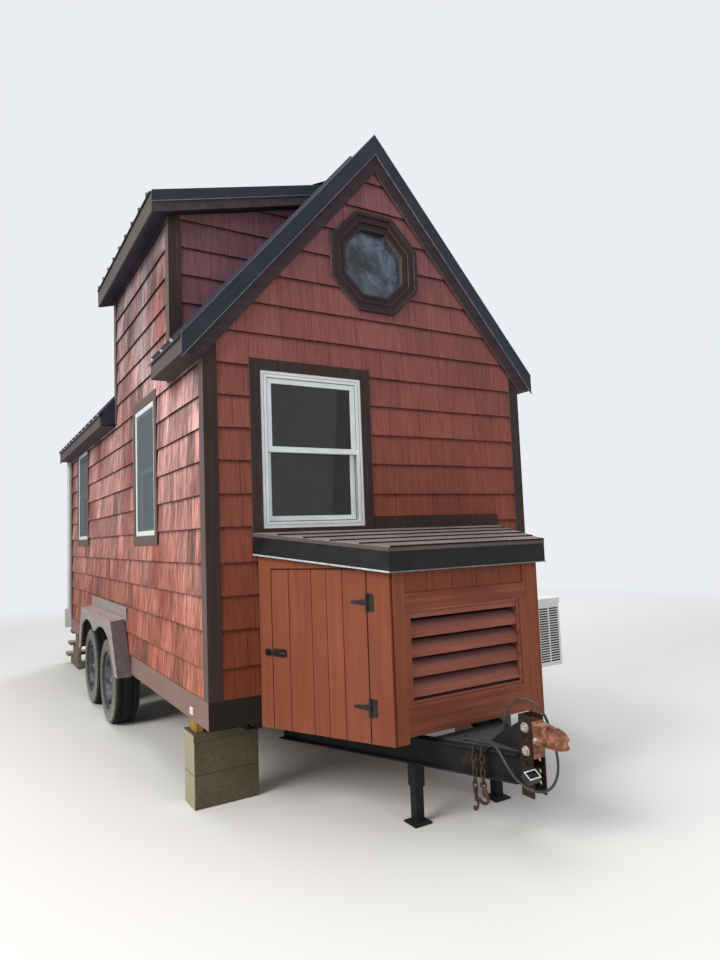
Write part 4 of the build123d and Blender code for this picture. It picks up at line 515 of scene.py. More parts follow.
def glass_paint():
    """Window glass, tinted grey so that the dim room behind reads darker, a painted shade; the panes of the
    gable, above 3 m, let less light through and carry a painted reflection of mottled clouds.
    """
    pane = srgb(92, 98, 100)
    p = Paint("window_pane", 0.0, base=pane, specular=0.5)
    p.set("Transmission Weight", 1.0)
    p.set("IOR", 1.45)
    p.bump(p.noise(1.5, 1), 0.02, 0.01)
    # Painted reflection of mottled clouds on the gable's panes.
    high = p.maths("GREATER_THAN", p.axis("Z"), 3.0)
    clouds = p.noise(7, 6, 0.65, warp=0.8)
    painted_sky = p.ramp(clouds, (0.36, (40, 44, 50)), (0.52, (74, 84, 100)), (0.7, (112, 124, 142)))
    p.feed("Base Color", p.mix(high, pane, painted_sky))
    p.feed("Transmission Weight", p.maths("SUBTRACT", 1.0, p.maths("MULTIPLY", high, 0.7)))


def screen_paint():
    """Insect mesh, partly see-through."""
    p = Paint("screen", 0.7, specular=0.15)
    weave = p.noise(260, 2, 0.5)
    p.feed("Base Color", p.ramp(weave, (0.3, (72, 81, 88)), (0.7, (106, 116, 123))))
    p.set("Alpha", 0.52)
    p.bump(weave, 0.3, 0.0005)


def steel_paints():
    """Black steel of the trailer, the greyer hitch with its brown post, and the chains."""
    rusted_paint("steel", ((12, 14, 15), (25, 28, 30)), ((46, 30, 22), (78, 52, 38)), 0.6,
                 top=((26, 28, 29), (48, 51, 51)))
    p = rusted_paint("old_steel", ((22, 25, 25), (40, 44, 44)), ((48, 30, 21), (82, 54, 38)), 0.66,
                     top=((58, 62, 62), (96, 100, 99)))
    post = p.maths("LESS_THAN", p.axis("Y"), HOUSE.y + POST_BACK_Y)
    scale = p.noise(36, 6, 0.65)
    brown_rust = p.ramp(scale, (0.3, (28, 20, 17)), (0.55, (48, 32, 25)), (0.75, (76, 48, 34)))
    p.feed("Base Color", p.mix(post, p.colour, brown_rust))
    rusted_paint("chain", ((46, 36, 31), (80, 64, 54)), ((66, 44, 33), (104, 74, 56)), 0.46, metallic=0.35)


def rusty_iron_paint():
    """The coupler's bare iron, all rust."""
    p = Paint("rusty_iron", 0.72, 0.35)
    patch = p.noise(22, 6, 0.7)
    fine = p.noise(140, 5, 0.65)
    colour = p.ramp(patch, (0.38, (48, 25, 19)), (0.5, (114, 62, 42)), (0.62, (188, 130, 100)))
    p.feed("Base Color", p.mix(0.32, colour, p.ramp(fine, (0.3, (76, 44, 32)), (0.8, (172, 124, 98)))))
    p.feed("Roughness", p.ramp(fine, (0.3, 0.5), (0.8, 0.85)))
    p.bump(fine, 0.6, 0.0015)


def tyre_paint():
    """Tyre rubber: dark ribbed tread, and dusty walls with moulded rings round the nearer axle."""
    rib_pitch = 0.0165
    ring_span = 0.4
    p = Paint("tyre_rubber", 0.82, specular=0.25)
    dust = p.noise(46, 5, 0.6)
    flat = p.ramp(p.maths("ABSOLUTE", p.axis("X", p.normal)), (0.3, 0.0), (0.75, 1.0))
    off_centre = p.maths("SUBTRACT", p.off("X", HOUSE.x), WHEEL_X)
    beside = p.maths("GREATER_THAN", p.maths("ABSOLUTE", off_centre), TREAD_HALF)
    wall = p.maths("MULTIPLY", flat, beside)
    tread = p.ramp(dust, (0.35, (12, 12, 12)), (0.75, (26, 25, 24)))
    ribs = p.maths("SINE", p.maths("MULTIPLY", p.axis("X"), 2 * math.pi / rib_pitch))
    tread = p.mix(p.ramp(ribs, (0.0, 0.0), (0.6, 0.5)), tread, srgb(30, 29, 28))
    side = p.ramp(dust, (0.35, (76, 77, 76)), (0.75, (120, 120, 117)))
    # The walls grow paler towards the bottom.
    paler_low = p.ramp(dust, (0.35, (100, 100, 97)), (0.75, (150, 149, 144)))
    side = p.mix(p.ramp(p.axis("Z"), (0.05, 1.0), (0.34, 0.0)), side, paler_low)
    along = p.maths("MINIMUM", *[p.off("Y", HOUSE.y + y) for y in WHEEL_YS])
    rise = p.maths("SUBTRACT", p.axis("Z"), AXLE_Z)
    reach = p.maths("ADD", p.maths("POWER", along, 2.0), p.maths("MULTIPLY", rise, rise))
    radius = p.maths("MULTIPLY", p.maths("SQRT", reach), 1 / ring_span)
    rings = p.ramp(radius, (0.50, 0.45), (0.58, 0.72), (0.63, 0.86), (0.645, 0.60), (0.66, 0.94),
                   (0.74, 1.0), (0.755, 0.70), (0.77, 1.1), (0.85, 1.12), (0.88, 0.7))
    side = p.tint(side, rings)
    p.feed("Base Color", p.mix(wall, tread, side))
    relief = p.maths("ADD", p.maths("MULTIPLY", ribs, p.maths("SUBTRACT", 1.0, wall)), p.noise(160, 3))
    p.bump(p.maths("ADD", relief, p.maths("MULTIPLY", rings, wall)), 0.5, 0.002)


def rim_paint():
    """Bright steel rims under grime."""
    p = Paint("rim_steel", 0.3, 0.75)
    grime = p.noise(14, 5, 0.6)
    p.feed("Base Color", p.ramp(grime, (0.35, (58, 60, 63)), (0.7, (122, 126, 131))))
    p.feed("Roughness", p.ramp(grime, (0.3, 0.28), (0.75, 0.5)))
    p.bump(p.noise(60, 3), 0.1, 0.001)


def concrete_paint():
    """The crib's blocks: pitted and stained, pale on the faces that look left with painted sunlight."""
    p = Paint("concrete", 0.94, specular=0.12)
    pits = p.noise(120, 5, 0.7)
    stain = p.noise(5, 4, 0.6)
    colour = p.ramp(pits, (0.25, (66, 59, 47)), (0.55, (92, 84, 67)), (0.8, (120, 112, 93)))
    colour = p.mix(p.ramp(stain, (0.4, 0.0), (0.7, 0.6)), colour, srgb(66, 61, 42))
    pale = p.ramp(pits, (0.25, (134, 127, 107)), (0.8, (180, 172, 149)))
    # Painted sunlight: the pale colours on faces that look left.
    p.feed("Base Color", p.mix(p.maths("MULTIPLY", p.sunlit_faces(), 0.9), colour, pale))
    p.bump(pits, 0.8, 0.003)


for make in (siding_paints, butt_paint, sheathing_paint, trim_paints, locker_paints, timber_paints,
             even_paints, box_shingle_paint, glass_paint, screen_paint, steel_paints, rusty_iron_paint,
             tyre_paint, rim_paint, concrete_paint):
    make()
cable.data.materials.append(MATERIALS["cable"])


class Pieces:
    """Gathers faces with a tone each, then makes one object of them."""

    def __init__(self):
        self.verts, self.faces, self.tones, self.rises, self.slots = [], [], [], [], []

    def face(self, indices, tone, slot=0):
        self.faces.append(list(indices))
        self.tones.append(tone)
        self.slots.append(slot)

    def tab(self, poly, place, low, high, thick, tone):
        """A shingle from its outline in (u, v), with the v of its butt and top and the depth at each."""
        n, first = len(poly), len(self.verts)
        for u, v in poly:
            share = (v - low) / (high - low)
            self.verts.append(place(u, v, thick[0] + (thick[1] - thick[0]) * share))
            self.rises.append(share)
        for u, v in poly:
            self.verts.append(place(u, v, 0.0))
            self.rises.append(0.5)
        self.face(range(first, first + n), tone)
        for i in range(n):
            j = (i + 1) % n
            flat = abs(poly[i][1] - poly[j][1]) < 1e-4
            # Flat faces along the butt take the second slot, painted near black as shade.
            self.face((first + i, first + n + i, first + n + j, first + j), tone,
                      1 if flat and poly[i][1] < low + 0.01 else 0)

    def prism(self, points, move, tone=None):
        """A flat outline pushed along move."""
        n, first = len(points), len(self.verts)
        tone = random.uniform(0.2, 0.8) if tone is None else tone
        self.verts += [Vector(p) for p in points] + [Vector(p) + Vector(move) for p in points]
        self.rises += [0.5] * 2 * n
        self.face(range(first, first + n), tone)
        self.face(range(first + n, first + 2 * n), tone)
        for i in range(n):
            j = (i + 1) % n
            self.face((first + i, first + j, first + n + j, first + n + i), tone)

    def block(self, low, high, tone=None):
        """A board between two opposite corners."""
        (x0, y0, z0), (x1, y1, z1) = low, high
        self.prism([at(x0, y0, z0), at(x1, y0, z0), at(x1, y0, z1), at(x0, y0, z1)], (0, y1 - y0, 0), tone)

    def bar(self, start, end, out, up):
        """A bar along a line, with out and up as the sides of its section."""
        a, out, up = Vector(start), Vector(out), Vector(up)
        self.prism([a, a + out, a + out + up, a + up], Vector(end) - a, 0.5)

    def lathe(self, centre, axis, profile, count):
        """A turned piece: profile gives (distance along the axis, radius)."""
        axis = Vector(axis).normalized()
        side = axis.orthogonal().normalized()
        other = axis.cross(side)
        first = len(self.verts)
        for reach, radius in profile:
            for i in range(count):
                a = 2 * math.pi * i / count
                spoke = side * math.cos(a) + other * math.sin(a)
                self.verts.append(Vector(centre) + axis * reach + spoke * radius)
                self.rises.append(0.5)
        for k in range(len(profile) - 1):
            for i in range(count):
                j = (i + 1) % count
                low, high = first + k * count, first + (k + 1) * count
                self.face((low + i, low + j, high + j, high + i), 0.5)
        self.face(range(first, first + count), 0.5)
        self.face(range(len(self.verts) - count, len(self.verts)), 0.5)

    def build(self, name, materials, body="house", slot=None, bevel=0.0, smooth=False):
        mesh = bpy.data.meshes.new(name)
        mesh.from_pydata(self.verts, [], self.faces)
        for mat in materials:
            mesh.materials.append(MATERIALS[mat])
        mesh.polygons.foreach_set("material_index", self.slots)
        mesh.attributes.new("tone", "FLOAT", "FACE").data.foreach_set("value", self.tones)
        mesh.attributes.new("rise", "FLOAT", "POINT").data.foreach_set("value", self.rises)
        work = bmesh.new()
        work.from_mesh(mesh)
        bmesh.ops.recalc_face_normals(work, faces=work.faces)
        work.to_mesh(mesh)
        work.free()
        if smooth:
            mesh.polygons.foreach_set("use_smooth", [True] * len(mesh.polygons))
        mesh.update()
        obj = show(name, mesh)
        if bevel:
            soften(obj, bevel)
        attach(obj, body)
        return obj


def soften(obj, width, weld=False):
    """Worn edges."""
    if weld:
        obj.modifiers.new("weld", "WELD").merge_threshold = 0.0001
    bevel = obj.modifiers.new("edges", "BEVEL")
    bevel.width = width
    bevel.segments = 2
    bevel.limit_method = "ANGLE"
    bevel.angle_limit = math.radians(35)


def clip(poly, a, b, c):
    """The part of a convex outline where a*u + b*z <= c."""
    out = []
    for i, p in enumerate(poly):
        q = poly[(i + 1) % len(poly)]
        dp, dq = a * p[0] + b * p[1] - c, a * q[0] + b * q[1] - c
        if dp <= 0:
            out.append(p)
        if dp * dq < 0:
            t = dp / (dp - dq)
            out.append((p[0] + t * (q[0] - p[0]), p[1] + t * (q[1] - p[1])))
    return out


def area(poly):
    return abs(sum(p[0] * q[1] - q[0] * p[1] for p, q in zip(poly, poly[1:] + poly[:1]))) / 2


def subtract(poly, hole):
    """Convex pieces of a convex outline that lie outside a convex hole (counter-clockwise)."""
    pieces, rest = [], poly
    for (u0, z0), (u1, z1) in zip(hole, hole[1:] + hole[:1]):
        a, b = z1 - z0, u0 - u1
        c = a * u0 + b * z0
        out = clip(rest, -a, -b, -c)
        if len(out) > 2 and area(out) > 1e-6:
            pieces.append(out)
        rest = clip(rest, a, b, c)
        if len(rest) < 3:
            break
    return pieces


def rect(u0, u1, z0, z1):
    return [(u0, z0), (u1, z0), (u1, z1), (u0, z1)]


def random_tone(spread):
    """A shingle's own tone, mostly near the middle of 0 to 1."""
    return min(1.0, max(0.0, random.gauss(0.5, spread)))


def shingle_wall(name, place, u0, u1, limits, holes, look="shingle_shade", widths=NARROW):
    """Courses of shingles on a wall. place(u, z, depth) gives a point; limits are half planes to stay in."""
    wall = Pieces()
    for z_butt, z_next in zip(BUTTS, BUTTS[1:]):
        u = u0 - random.uniform(0, widths[0])
        z_top = z_next + SHINGLE_LAP
        while u < u1:
            w = random.uniform(*widths)
            lift = random.uniform(-0.002, 0.002)
            tone = random_tone(0.24)
            left, right = max(u, u0), min(u + w - SHINGLE_GAP, u1)
            u += w
            if right - left < 0.004:
                continue
            pieces = [rect(left, right, z_butt + lift, z_top)]
            for a, b, c in [(0, -1, -SKIRT_TOP)] + limits:
                pieces = [q for q in (clip(p, a, b, c) for p in pieces) if len(q) > 2]
            for hole in holes:
                pieces = [q for p in pieces for q in subtract(p, hole)]
            for poly in pieces:
                if area(poly) > 1e-5:
                    wall.tab(poly, place, z_butt, z_top, SHINGLE_THICK, tone)
    return wall.build(name, (look, "butt_shade"), slot="siding")


def gable_limits():
    """Half planes under the two slopes of the main roof."""
    drop = ROOF_DROP + 0.012
    return [(PITCH, 1, RIDGE_Z - drop), (-PITCH, 1, RIDGE_Z - drop)]


def window_hole(cx, w, z, h):
    """The outline that a window and its trim take from the shingles."""
    margin = 0.035
    return rect(cx - w / 2 - margin, cx + w / 2 + margin, z - margin, z + h + margin)


def octagon(cx, cz, half):
    """A regular octagon with flat sides up and down."""
    k = half * math.tan(math.radians(22.5))
    pts = [(half, -k), (half, k), (k, half), (-k, half), (-half, k), (-half, -k), (-k, -half), (k, -half)]
    return [(cx + x, cz + z) for x, z in pts]


def end_siding():
    """Shingles of the front and rear walls."""
    edge = HALF - 0.08
    box = rect(-0.89, 0.89, 0.0, 1.56)
    board_over_box = rect(-0.10, 0.96, 1.50, 1.655)
    pane = octagon(OCTAGON[0], OCTAGON[1], OCTAGON[2] - 0.03)
    shingle_wall("siding_front", lambda u, z, d: at(u, WALL_SET - d, z), -edge, edge, gable_limits(),
                 [window_hole(*FRONT_WINDOW), pane, box, board_over_box], widths=WIDE)
    cx, w, z, h = ENTRY
    shingle_wall("siding_rear", lambda u, z, d: at(u, LENGTH - WALL_SET + d, z), -edge, edge, gable_limits(),
                 [window_hole(cx, w, 0.5, z + h - 0.5)], widths=WIDE)


def side_siding():
    """Shingles of the two long walls; on the left they run up the dormer's face."""
    eave = SOFFIT_Z + 0.005
    fender = rect(2.17, 3.77, 0.4, 0.99)
    beside_dormer = [rect(0.0, DORMER[0] + 0.08, eave, 4.0), rect(DORMER[1] - 0.08, LENGTH, eave, 4.0)]
    holes = [window_hole(*w) for w in SIDE_WINDOWS] + [fender]
    for s, name, look, top, more in ((-1, "siding_left", "shingle_sunlit_sheen", 3.73, beside_dormer),
                                     (1, "siding_right", "shingle_shade", SOFFIT_Z, [])):
        shingle_wall(name, lambda u, z, d, s=s: at(s * (WALL_X + d), u, z), 0.08, LENGTH - 0.08,
                     [(0, 1, top)], holes + more, look)


def dormer_siding():
    """Shingles of the dormer's two triangular sides, between its roof and the main roof."""
    ex, ez = DORMER_EAVE
    under = ez - DORMER_DROP - ex * DORMER_RISE
    limits = [(-DORMER_RISE, 1, under), (PITCH, -1, -RIDGE_Z + 0.004)]
    for y, sy, name in ((DORMER[0] + WALL_SET, -1, "siding_dormer_front"),
                        (DORMER[1] - WALL_SET, 1, "siding_dormer_rear")):
        shingle_wall(name, lambda u, z, d, y=y, sy=sy: at(u, y + sy * d, z), -1.14, 0.0, limits, [],
                     "shingle_eave_shade", WIDE)


def rake_lines(lines, y, drop, out, thin):
    """Two thin bars down the gable's slopes, at a drop below the ridge's planes."""
    for s in (-1, 1):
        low_z = RIDGE_Z - FASCIA_X * PITCH - drop - thin
        lines.bar(at(0, y, RIDGE_Z - drop - thin), at(s * FASCIA_X, y, low_z), (0, out, 0), (0, 0, thin))


def roof_lines():
    """Thin pale lines where the roof's metal ends over the boards: painted highlights on its edges."""
    face, reach, thin = 0.0205, 0.0105, 0.006
    lines = Pieces()
    drop = RAKE_METAL / PITCH_COS
    for y, out in ((-face, -reach), (LENGTH + face, reach)):
        rake_lines(lines, y, drop, out, thin)
    face, thin = 0.0705, 0.005
    drop = DORMER_METAL / DORMER_COS
    top = RIDGE_Z - DORMER_TOP_DROP - drop
    x0 = (DORMER_TOP_DROP + drop) / (PITCH - DORMER_RISE) + 0.02
    for y, out in ((DORMER[0] - face, -reach), (DORMER[1] + face, reach)):
        high = at(-x0, y, top - x0 * DORMER_RISE - thin)
        low = at(-FASCIA_X, y, top - FASCIA_X * DORMER_RISE - thin)
        lines.bar(high, low, (0, out, 0), (0, 0, thin))
    lines.build("roof_edge_highlights", ("edge_light_dim",), slot="roof_metal")


def rake_top_highlight():
    """Painted highlight along the upper edge of the metal on the front gable."""
    edge = Pieces()
    rake_lines(edge, -0.0285, 0.0, -0.002, 0.004)
    edge.build("rake_top_highlight", ("edge_light_dim",), slot="roof_metal")


def octagon_mouldings():
    """Raised bead round the octagon's trim, a smaller one beside its opening and one round its frame."""
    rings = Pieces()
    cx, cz, half = OCTAGON
    for outer, inner, y, thick in ((half, half - 0.026, 0.0, 0.013),
                                   (half - 0.058, half - 0.070, 0.0, 0.006),
                                   (0.240, 0.222, 0.010, 0.007)):
        big, small = octagon(cx, cz, outer), octagon(cx, cz, inner)
        for i in range(8):
            j = (i + 1) % 8
            side = (big[i], big[j], small[j], small[i])
            rings.prism([at(x, y, z) for x, z in side], (0, -thick, 0), 0.5)
    rings.build("octagon_mouldings", ("rake_wood",), slot="trim", bevel=0.002)


def rib_end_highlights():
    """Pale ends of the roof's ribs over the eaves, painted highlights."""
    high, deep, foot_half, top_half, margin = 0.019, 0.003, 0.022, 0.009, 0.044
    ends = Pieces()
    eave_z = RIDGE_Z - EAVE_X * PITCH
    side, top = Vector((0, foot_half, 0)), Vector((0, top_half, 0))
    for s, y0, y1 in ((-1, 0.0, 0.71), (-1, 2.54, LENGTH), (1, 0.0, LENGTH)):
        count = int((y1 - y0 - margin) // RIB_PITCH)
        start = (y0 + y1) / 2 - count * RIB_PITCH / 2
        out = Vector((s * PITCH_SIN, 0, PITCH_COS)) * high
        down = Vector((s * PITCH_COS, 0, -PITCH_SIN)) * deep
        for i in range(count + 1):
            base = at(s * EAVE_X, start + i * RIB_PITCH, eave_z)
            ends.prism([base - side, base + side, base + top + out, base - top + out], down, 0.5)
    ends.build("rib_end_highlights", ("edge_light_bright",), slot="roof_metal")


def dress_hitch():
    """Washers under the hitch bolts' heads, and the coupler's side nuts with theirs."""
    washer = [(0, 0.0235), (0.003, 0.0235), (0.0036, 0.022)]
    nut = [(0, 0.0125), (0.0025, 0.0125), (0.0028, 0.0095), (0.0090, 0.0095), (0.0100, 0.0080)]
    bolt_x, bolt_y = HITCH_BOLT
    nut_x, nut_y, nut_z = SIDE_NUT
    washers = Pieces()
    for s in (-1, 1):
        for z in HITCH_BOLT_ZS:
            washers.lathe(at(s * bolt_x, bolt_y, z), (s, 0, 0), washer, 24)
        washers.lathe(at(s * nut_x, nut_y, nut_z), (s, 0, 0), nut, 6)
    washers.build("hitch_washers", ("zinc",), slot="frame_steel")


def dress_fender():
    """The knot on top of the left fender."""
    upright = (-0.104, 0, 0.995)
    knot = Pieces()
    knot.lathe(at(*FENDER_KNOT), upright, [(0, 0.010), (0.0008, 0.010), (0.0014, 0.007)], 12)
    knot.build("fender_knot", ("knot_and_painted_shade",), slot="fender_wood")


def box_roof_z(y):
    """Height of the tongue box's roof at a distance from the wall."""
    back, front, reach = BOX_ROOF
    return back + (front - back) * -y / reach


def dress_box_roof():
    """Five courses of shingles on the tongue box."""
    courses = Pieces()
    reach = BOX_ROOF[2]
    front, back = BOX_ROOF_HALF
    slant = (back - front) / reach
    step = reach / 5
    for i in range(5):
        y1, y0 = -i * step, -(i + 1) * step - 0.004
        x = -back - random.uniform(0.0, 0.2)
        while x < back:
            w = random.uniform(0.22, 0.42)
            poly = rect(x, x + w - 0.002, y0 + random.uniform(-0.002, 0.002), y1)
            for side in (-1, 1):
                poly = clip(poly, side, -slant, back)
            x += w
            if len(poly) > 2 and area(poly) > 1e-4:
                tone = random_tone(0.25)
                courses.tab(poly, lambda u, v, d: at(u, v, box_roof_z(v) + d), y0, y1, (0.009, 0.002), tone)
    courses.build("box_roof_shingles", ("box_shingle", "butt_shade"), slot="locker_shingle")


def dress_box_fascia():
    """Drip edges under the tongue box's fascia: pale metal, bright with painted sunlight on the left and dim
    with painted shade elsewhere.
    """
    front, back = BOX_ROOF_HALF
    reach = BOX_ROOF[2]
    corners = [(-back, 0.0), (-front, -reach), (front, -reach), (back, 0.0)]
    sides = (("left", "edge_light_bright", 0.009), ("front", "edge_light_dim", 0.006), ("right", "edge_light_dim", 0.006))
    for (side, look, high), (xa, ya), (xb, yb) in zip(sides, corners, corners[1:]):
        out = Vector((yb - ya, xa - xb, 0)).normalized() * 0.004
        edge = Pieces()
        edge.bar(at(xa, ya, box_roof_z(ya) - BOX_FASCIA_H), at(xb, yb, box_roof_z(yb) - BOX_FASCIA_H), out,
                 (0, 0, high))
        edge.build(f"box_drip_{side}", (look,), slot="black_trim")


def dress_box_front():
    """Boards on the recessed front panel: short planks, the rail under them, stiles and the bottom board."""
    x0, x1, z0, z1 = LOUVRE
    sill = z0 - 0.012
    under_roof = box_roof_z(BOX_FRONT_Y) - 0.021
    face, thick = BOX_PANEL_Y, 0.0105
    boards = Pieces()
    boards.block((-BOX_INNER, face - thick, z1), (BOX_INNER, face, PANEL_RAIL_TOP), 0.62)
    boards.block((-BOX_INNER, face - thick, BOX_PANEL_BOTTOM), (BOX_INNER, face, sill), 0.45)
    # The thin strip under the louvre takes the palest tone, a painted highlight on its ledge.
    boards.block((x0 - 0.004, face - thick - 0.001, sill), (x1 + 0.02, face, z0), 1.0)
    boards.build("box_front_rails", ("locker_x",), slot="locker_wood", bevel=0.0015)
    planks = Pieces()
    edges = (-BOX_INNER, -0.275, -0.105, 0.065, 0.235, 0.404)
    gap, thin = 0.0015, 0.004
    for a, b in zip(edges, edges[1:]):
        tone = random.uniform(0.0, 0.3)
        planks.block((a + gap, face - thin, PANEL_RAIL_TOP), (b - gap, face, under_roof), tone)
    planks.block((edges[-1], face - thick, PANEL_RAIL_TOP), (BOX_INNER, face, under_roof), 0.4)
    planks.block((-BOX_INNER, face - thick, sill), (x0, face, z1), 0.5)
    planks.block((x1, face - thick, sill), (BOX_INNER, face, z1), 0.5)
    planks.build("box_front_planks", ("locker",), slot="locker_wood", bevel=0.0015)


BOX_RUN = Vector((BOX_HALF[1] - BOX_HALF[0], BOX_FRONT_Y, 0.0)).normalized()
BOX_OUT = Vector((BOX_RUN.y, -BOX_RUN.x, 0.0))


def box_side(along, out, z):
    """A point on the tongue box's left side: distance from the wall, outwards and height."""
    return at(-BOX_HALF[1], 0, z) + BOX_RUN * along + BOX_OUT * out


def dress_hardware():
    """Screw heads of the hinges and barrel bolt."""
    head = [(0.0, 0.0048), (0.0010, 0.0045), (0.0018, 0.003), (0.0021, 0.001)]
    leaf, bolt_plate = 0.003, 0.004
    door, stile = Pieces(), Pieces()
    for z in HINGE_ZS:
        for back in (0.022, 0.052, 0.084):
            door.lathe(box_side(HINGE_ALONG - back, leaf, z), BOX_OUT, head, 10)
        for dz in (-0.035, -0.024, 0.024, 0.035):
            stile.lathe(box_side(HINGE_ALONG + 0.029, leaf, z + dz), BOX_OUT, head, 10)
    for along in (0.107, 0.186):
        for dz in (-0.0165, 0.0165):
            door.lathe(box_side(along, bolt_plate, BOLT_Z + dz), BOX_OUT, head, 10)
    door.build("door_screws", ("hardware",), "box_door", slot="black_trim", smooth=True)
    stile.build("stile_screws", ("hardware",), slot="black_trim", smooth=True)


def dress_wheels():
    """Hub caps and lug nuts."""
    cap = [(0.0, 0.034), (0.012, 0.034), (0.030, 0.030), (0.044, 0.021), (0.051, 0.008)]
    nut = [(0.0, 0.0115), (0.010, 0.0115), (0.015, 0.0085), (0.021, 0.0055), (0.022, 0.002)]
    circle, sunk, first_angle, count = 0.048, 0.001, 0.3, 5
    for s, side in ((-1, "left"), (1, "right")):
        for y, place in zip(WHEEL_YS, ("front", "rear")):
            wheel = f"{side}_{place}"
            centre = at(s * (WHEEL_X + HUB_FACE), y, AXLE_Z)
            cover = Pieces()
            cover.lathe(centre, (s, 0, 0), cap, 32)
            cover.build(f"hub_cap_{wheel}", ("cap",), f"wheel_{wheel}", "wheel_steel", smooth=True)
            nuts = Pieces()
            for i in range(count):
                a = 2 * math.pi * i / count + first_angle
                spot = centre + Vector((-s * sunk, circle * math.cos(a), circle * math.sin(a)))
                nuts.lathe(spot, (s, 0, 0), nut, 6)
            nuts.build(f"lug_nuts_{wheel}", ("zinc",), f"wheel_{wheel}", "wheel_steel", bevel=0.0008)


def ring(u0, u1, z0, z1, r):
    """Opposite corners of the four bars round a rectangle: foot, head and two uprights."""
    return (((u0, z0), (u1, z0 + r)), ((u0, z1 - r), (u1, z1)),
            ((u0, z0 + r), (u0 + r, z1 - r)), ((u1 - r, z0 + r), (u1, z1 - r)))


def dress_windows():
    """Insect screens of the side windows, with their thin frames."""
    mesh_half, rim_half, rim = 0.0005, 0.003, 0.010
    for s, side in ((-1, "left"), (1, "right")):
        screens, rims = Pieces(), Pieces()
        for cy, w, z, h in SIDE_WINDOWS:
            half, x = w / 2 - SIDE_FRAME, s * (HALF - 0.005 - 0.005)
            z0, z1 = z + SIDE_FRAME, z + h - SIDE_FRAME
            screens.block((x - mesh_half, cy - half, z0), (x + mesh_half, cy + half, z1), 0.5)
            for low, high in ring(cy - half, cy + half, z0, z1, rim):
                rims.block((x - rim_half, *low), (x + rim_half, *high), 0.5)
        screens.build(f"screens_{side}", ("screen",), slot="window_frame")
        rims.build(f"screen_frames_{side}", ("vinyl",), slot="window_frame", bevel=0.0008)


def window_lines():
    """Dark strips of painted shade in the gaps round the front window's sashes, and grey lines of painted
    shade along its frame and sash tracks.
    """
    cx, w, z, h = FRONT_WINDOW
    half, inner = w / 2, w / 2 - FRONT_FRAME
    foot, top, middle = z + FRONT_FRAME, z + h - FRONT_FRAME, z + h / 2
    upper, lower = WINDOW_FACE + 0.008, WINDOW_FACE + 0.036
    gap, proud, meeting = 0.0035, 0.0008, 0.017
    gaps, lines = Pieces(), Pieces()
    for y, z0, z1 in ((upper, middle + meeting, top), (lower, foot, middle - meeting)):
        for x in (cx - inner, cx + inner - gap):
            gaps.block((x, y - proud, z0), (x + gap, y + proud, z1))
    gaps.block((cx - inner + gap, upper - proud, top - gap), (cx + inner - gap, upper + proud, top))
    gaps.block((cx - inner + gap, lower - proud, foot), (cx + inner - gap, lower + proud, foot + 0.005))
    gaps.build("sash_gap_shade", ("knot_and_painted_shade",), slot="window_frame")
    inset, wide = 0.018, 0.0022
    x0, x1, z0, z1 = cx - half + inset, cx + half - inset, z + inset, z + h - inset
    for (xa, za), (xb, zb) in ring(x0, x1, z0, z1, wide):
        lines.block((xa, WINDOW_FACE - 0.0006, za), (xb, WINDOW_FACE + 0.001, zb))
    for depth in (0.012, 0.020, 0.028):
        y = WINDOW_FACE + depth
        for x in (cx - inner, cx + inner - proud):
            lines.block((x, y, foot), (x + proud, y + 0.003, middle - meeting))
    lines.build("window_frame_shade_lines", ("groove_shade",), slot="window_frame")


def dress_outdoor_unit():
    """Dark strips at the depth of the outdoor unit's grille slots, painted shade, two columns of them."""
    x0, x1, y, z0, z1 = AC
    margin, rib, slot_h, pitch, count = 0.020, 0.014, 0.009, 0.0186, 22
    width = (x1 - x0 - 2 * margin - rib) / 2
    first = (z0 + z1 - (count - 1) * pitch - slot_h) / 2
    dark = Pieces()
    for column in range(2):
        x = x0 + margin + column * (width + rib)
        for i in range(count):
            z = first + i * pitch
            dark.block((x, y - 0.0003, z - 0.001), (x + width, y + 0.0065, z + slot_h + 0.001))
    dark.build("ac_slot_shade", ("knot_and_painted_shade",), slot="black_trim")


def dress_switch():
    """The pale rim of the breakaway switch."""
    out = Vector((0, -math.sin(SWITCH_TILT), math.cos(SWITCH_TILT))) * 0.0025
    side, rise = Vector((1, 0, 0)), Vector((0, math.cos(SWITCH_TILT), math.sin(SWITCH_TILT)))
    centre, (w, h), r = at(*SWITCH), SWITCH_HALF, SWITCH_RIM
    rim = Pieces()
    for v in (-h, h - r):
        rim.bar(centre - side * w + rise * v, centre + side * w + rise * v, rise * r, out)
    for u in (-w, w - r):
        rim.bar(centre + side * u + rise * (r - h), centre + side * u + rise * (h - r), side * r, out)
    rim.build("switch_rim", ("marker",), slot="black_trim", bevel=0.0008)


def dress_lamp():
    """The small lamp on the left skirt."""
    (y0, z0), (y1, z1) = LAMP
    lamp = Pieces()
    lamp.block((-HALF - 0.012, y0, z0), (-HALF, y1, z1), 0.5)
    lamp.build("skirt_lamp", ("marker",), slot="window_frame", bevel=0.004)


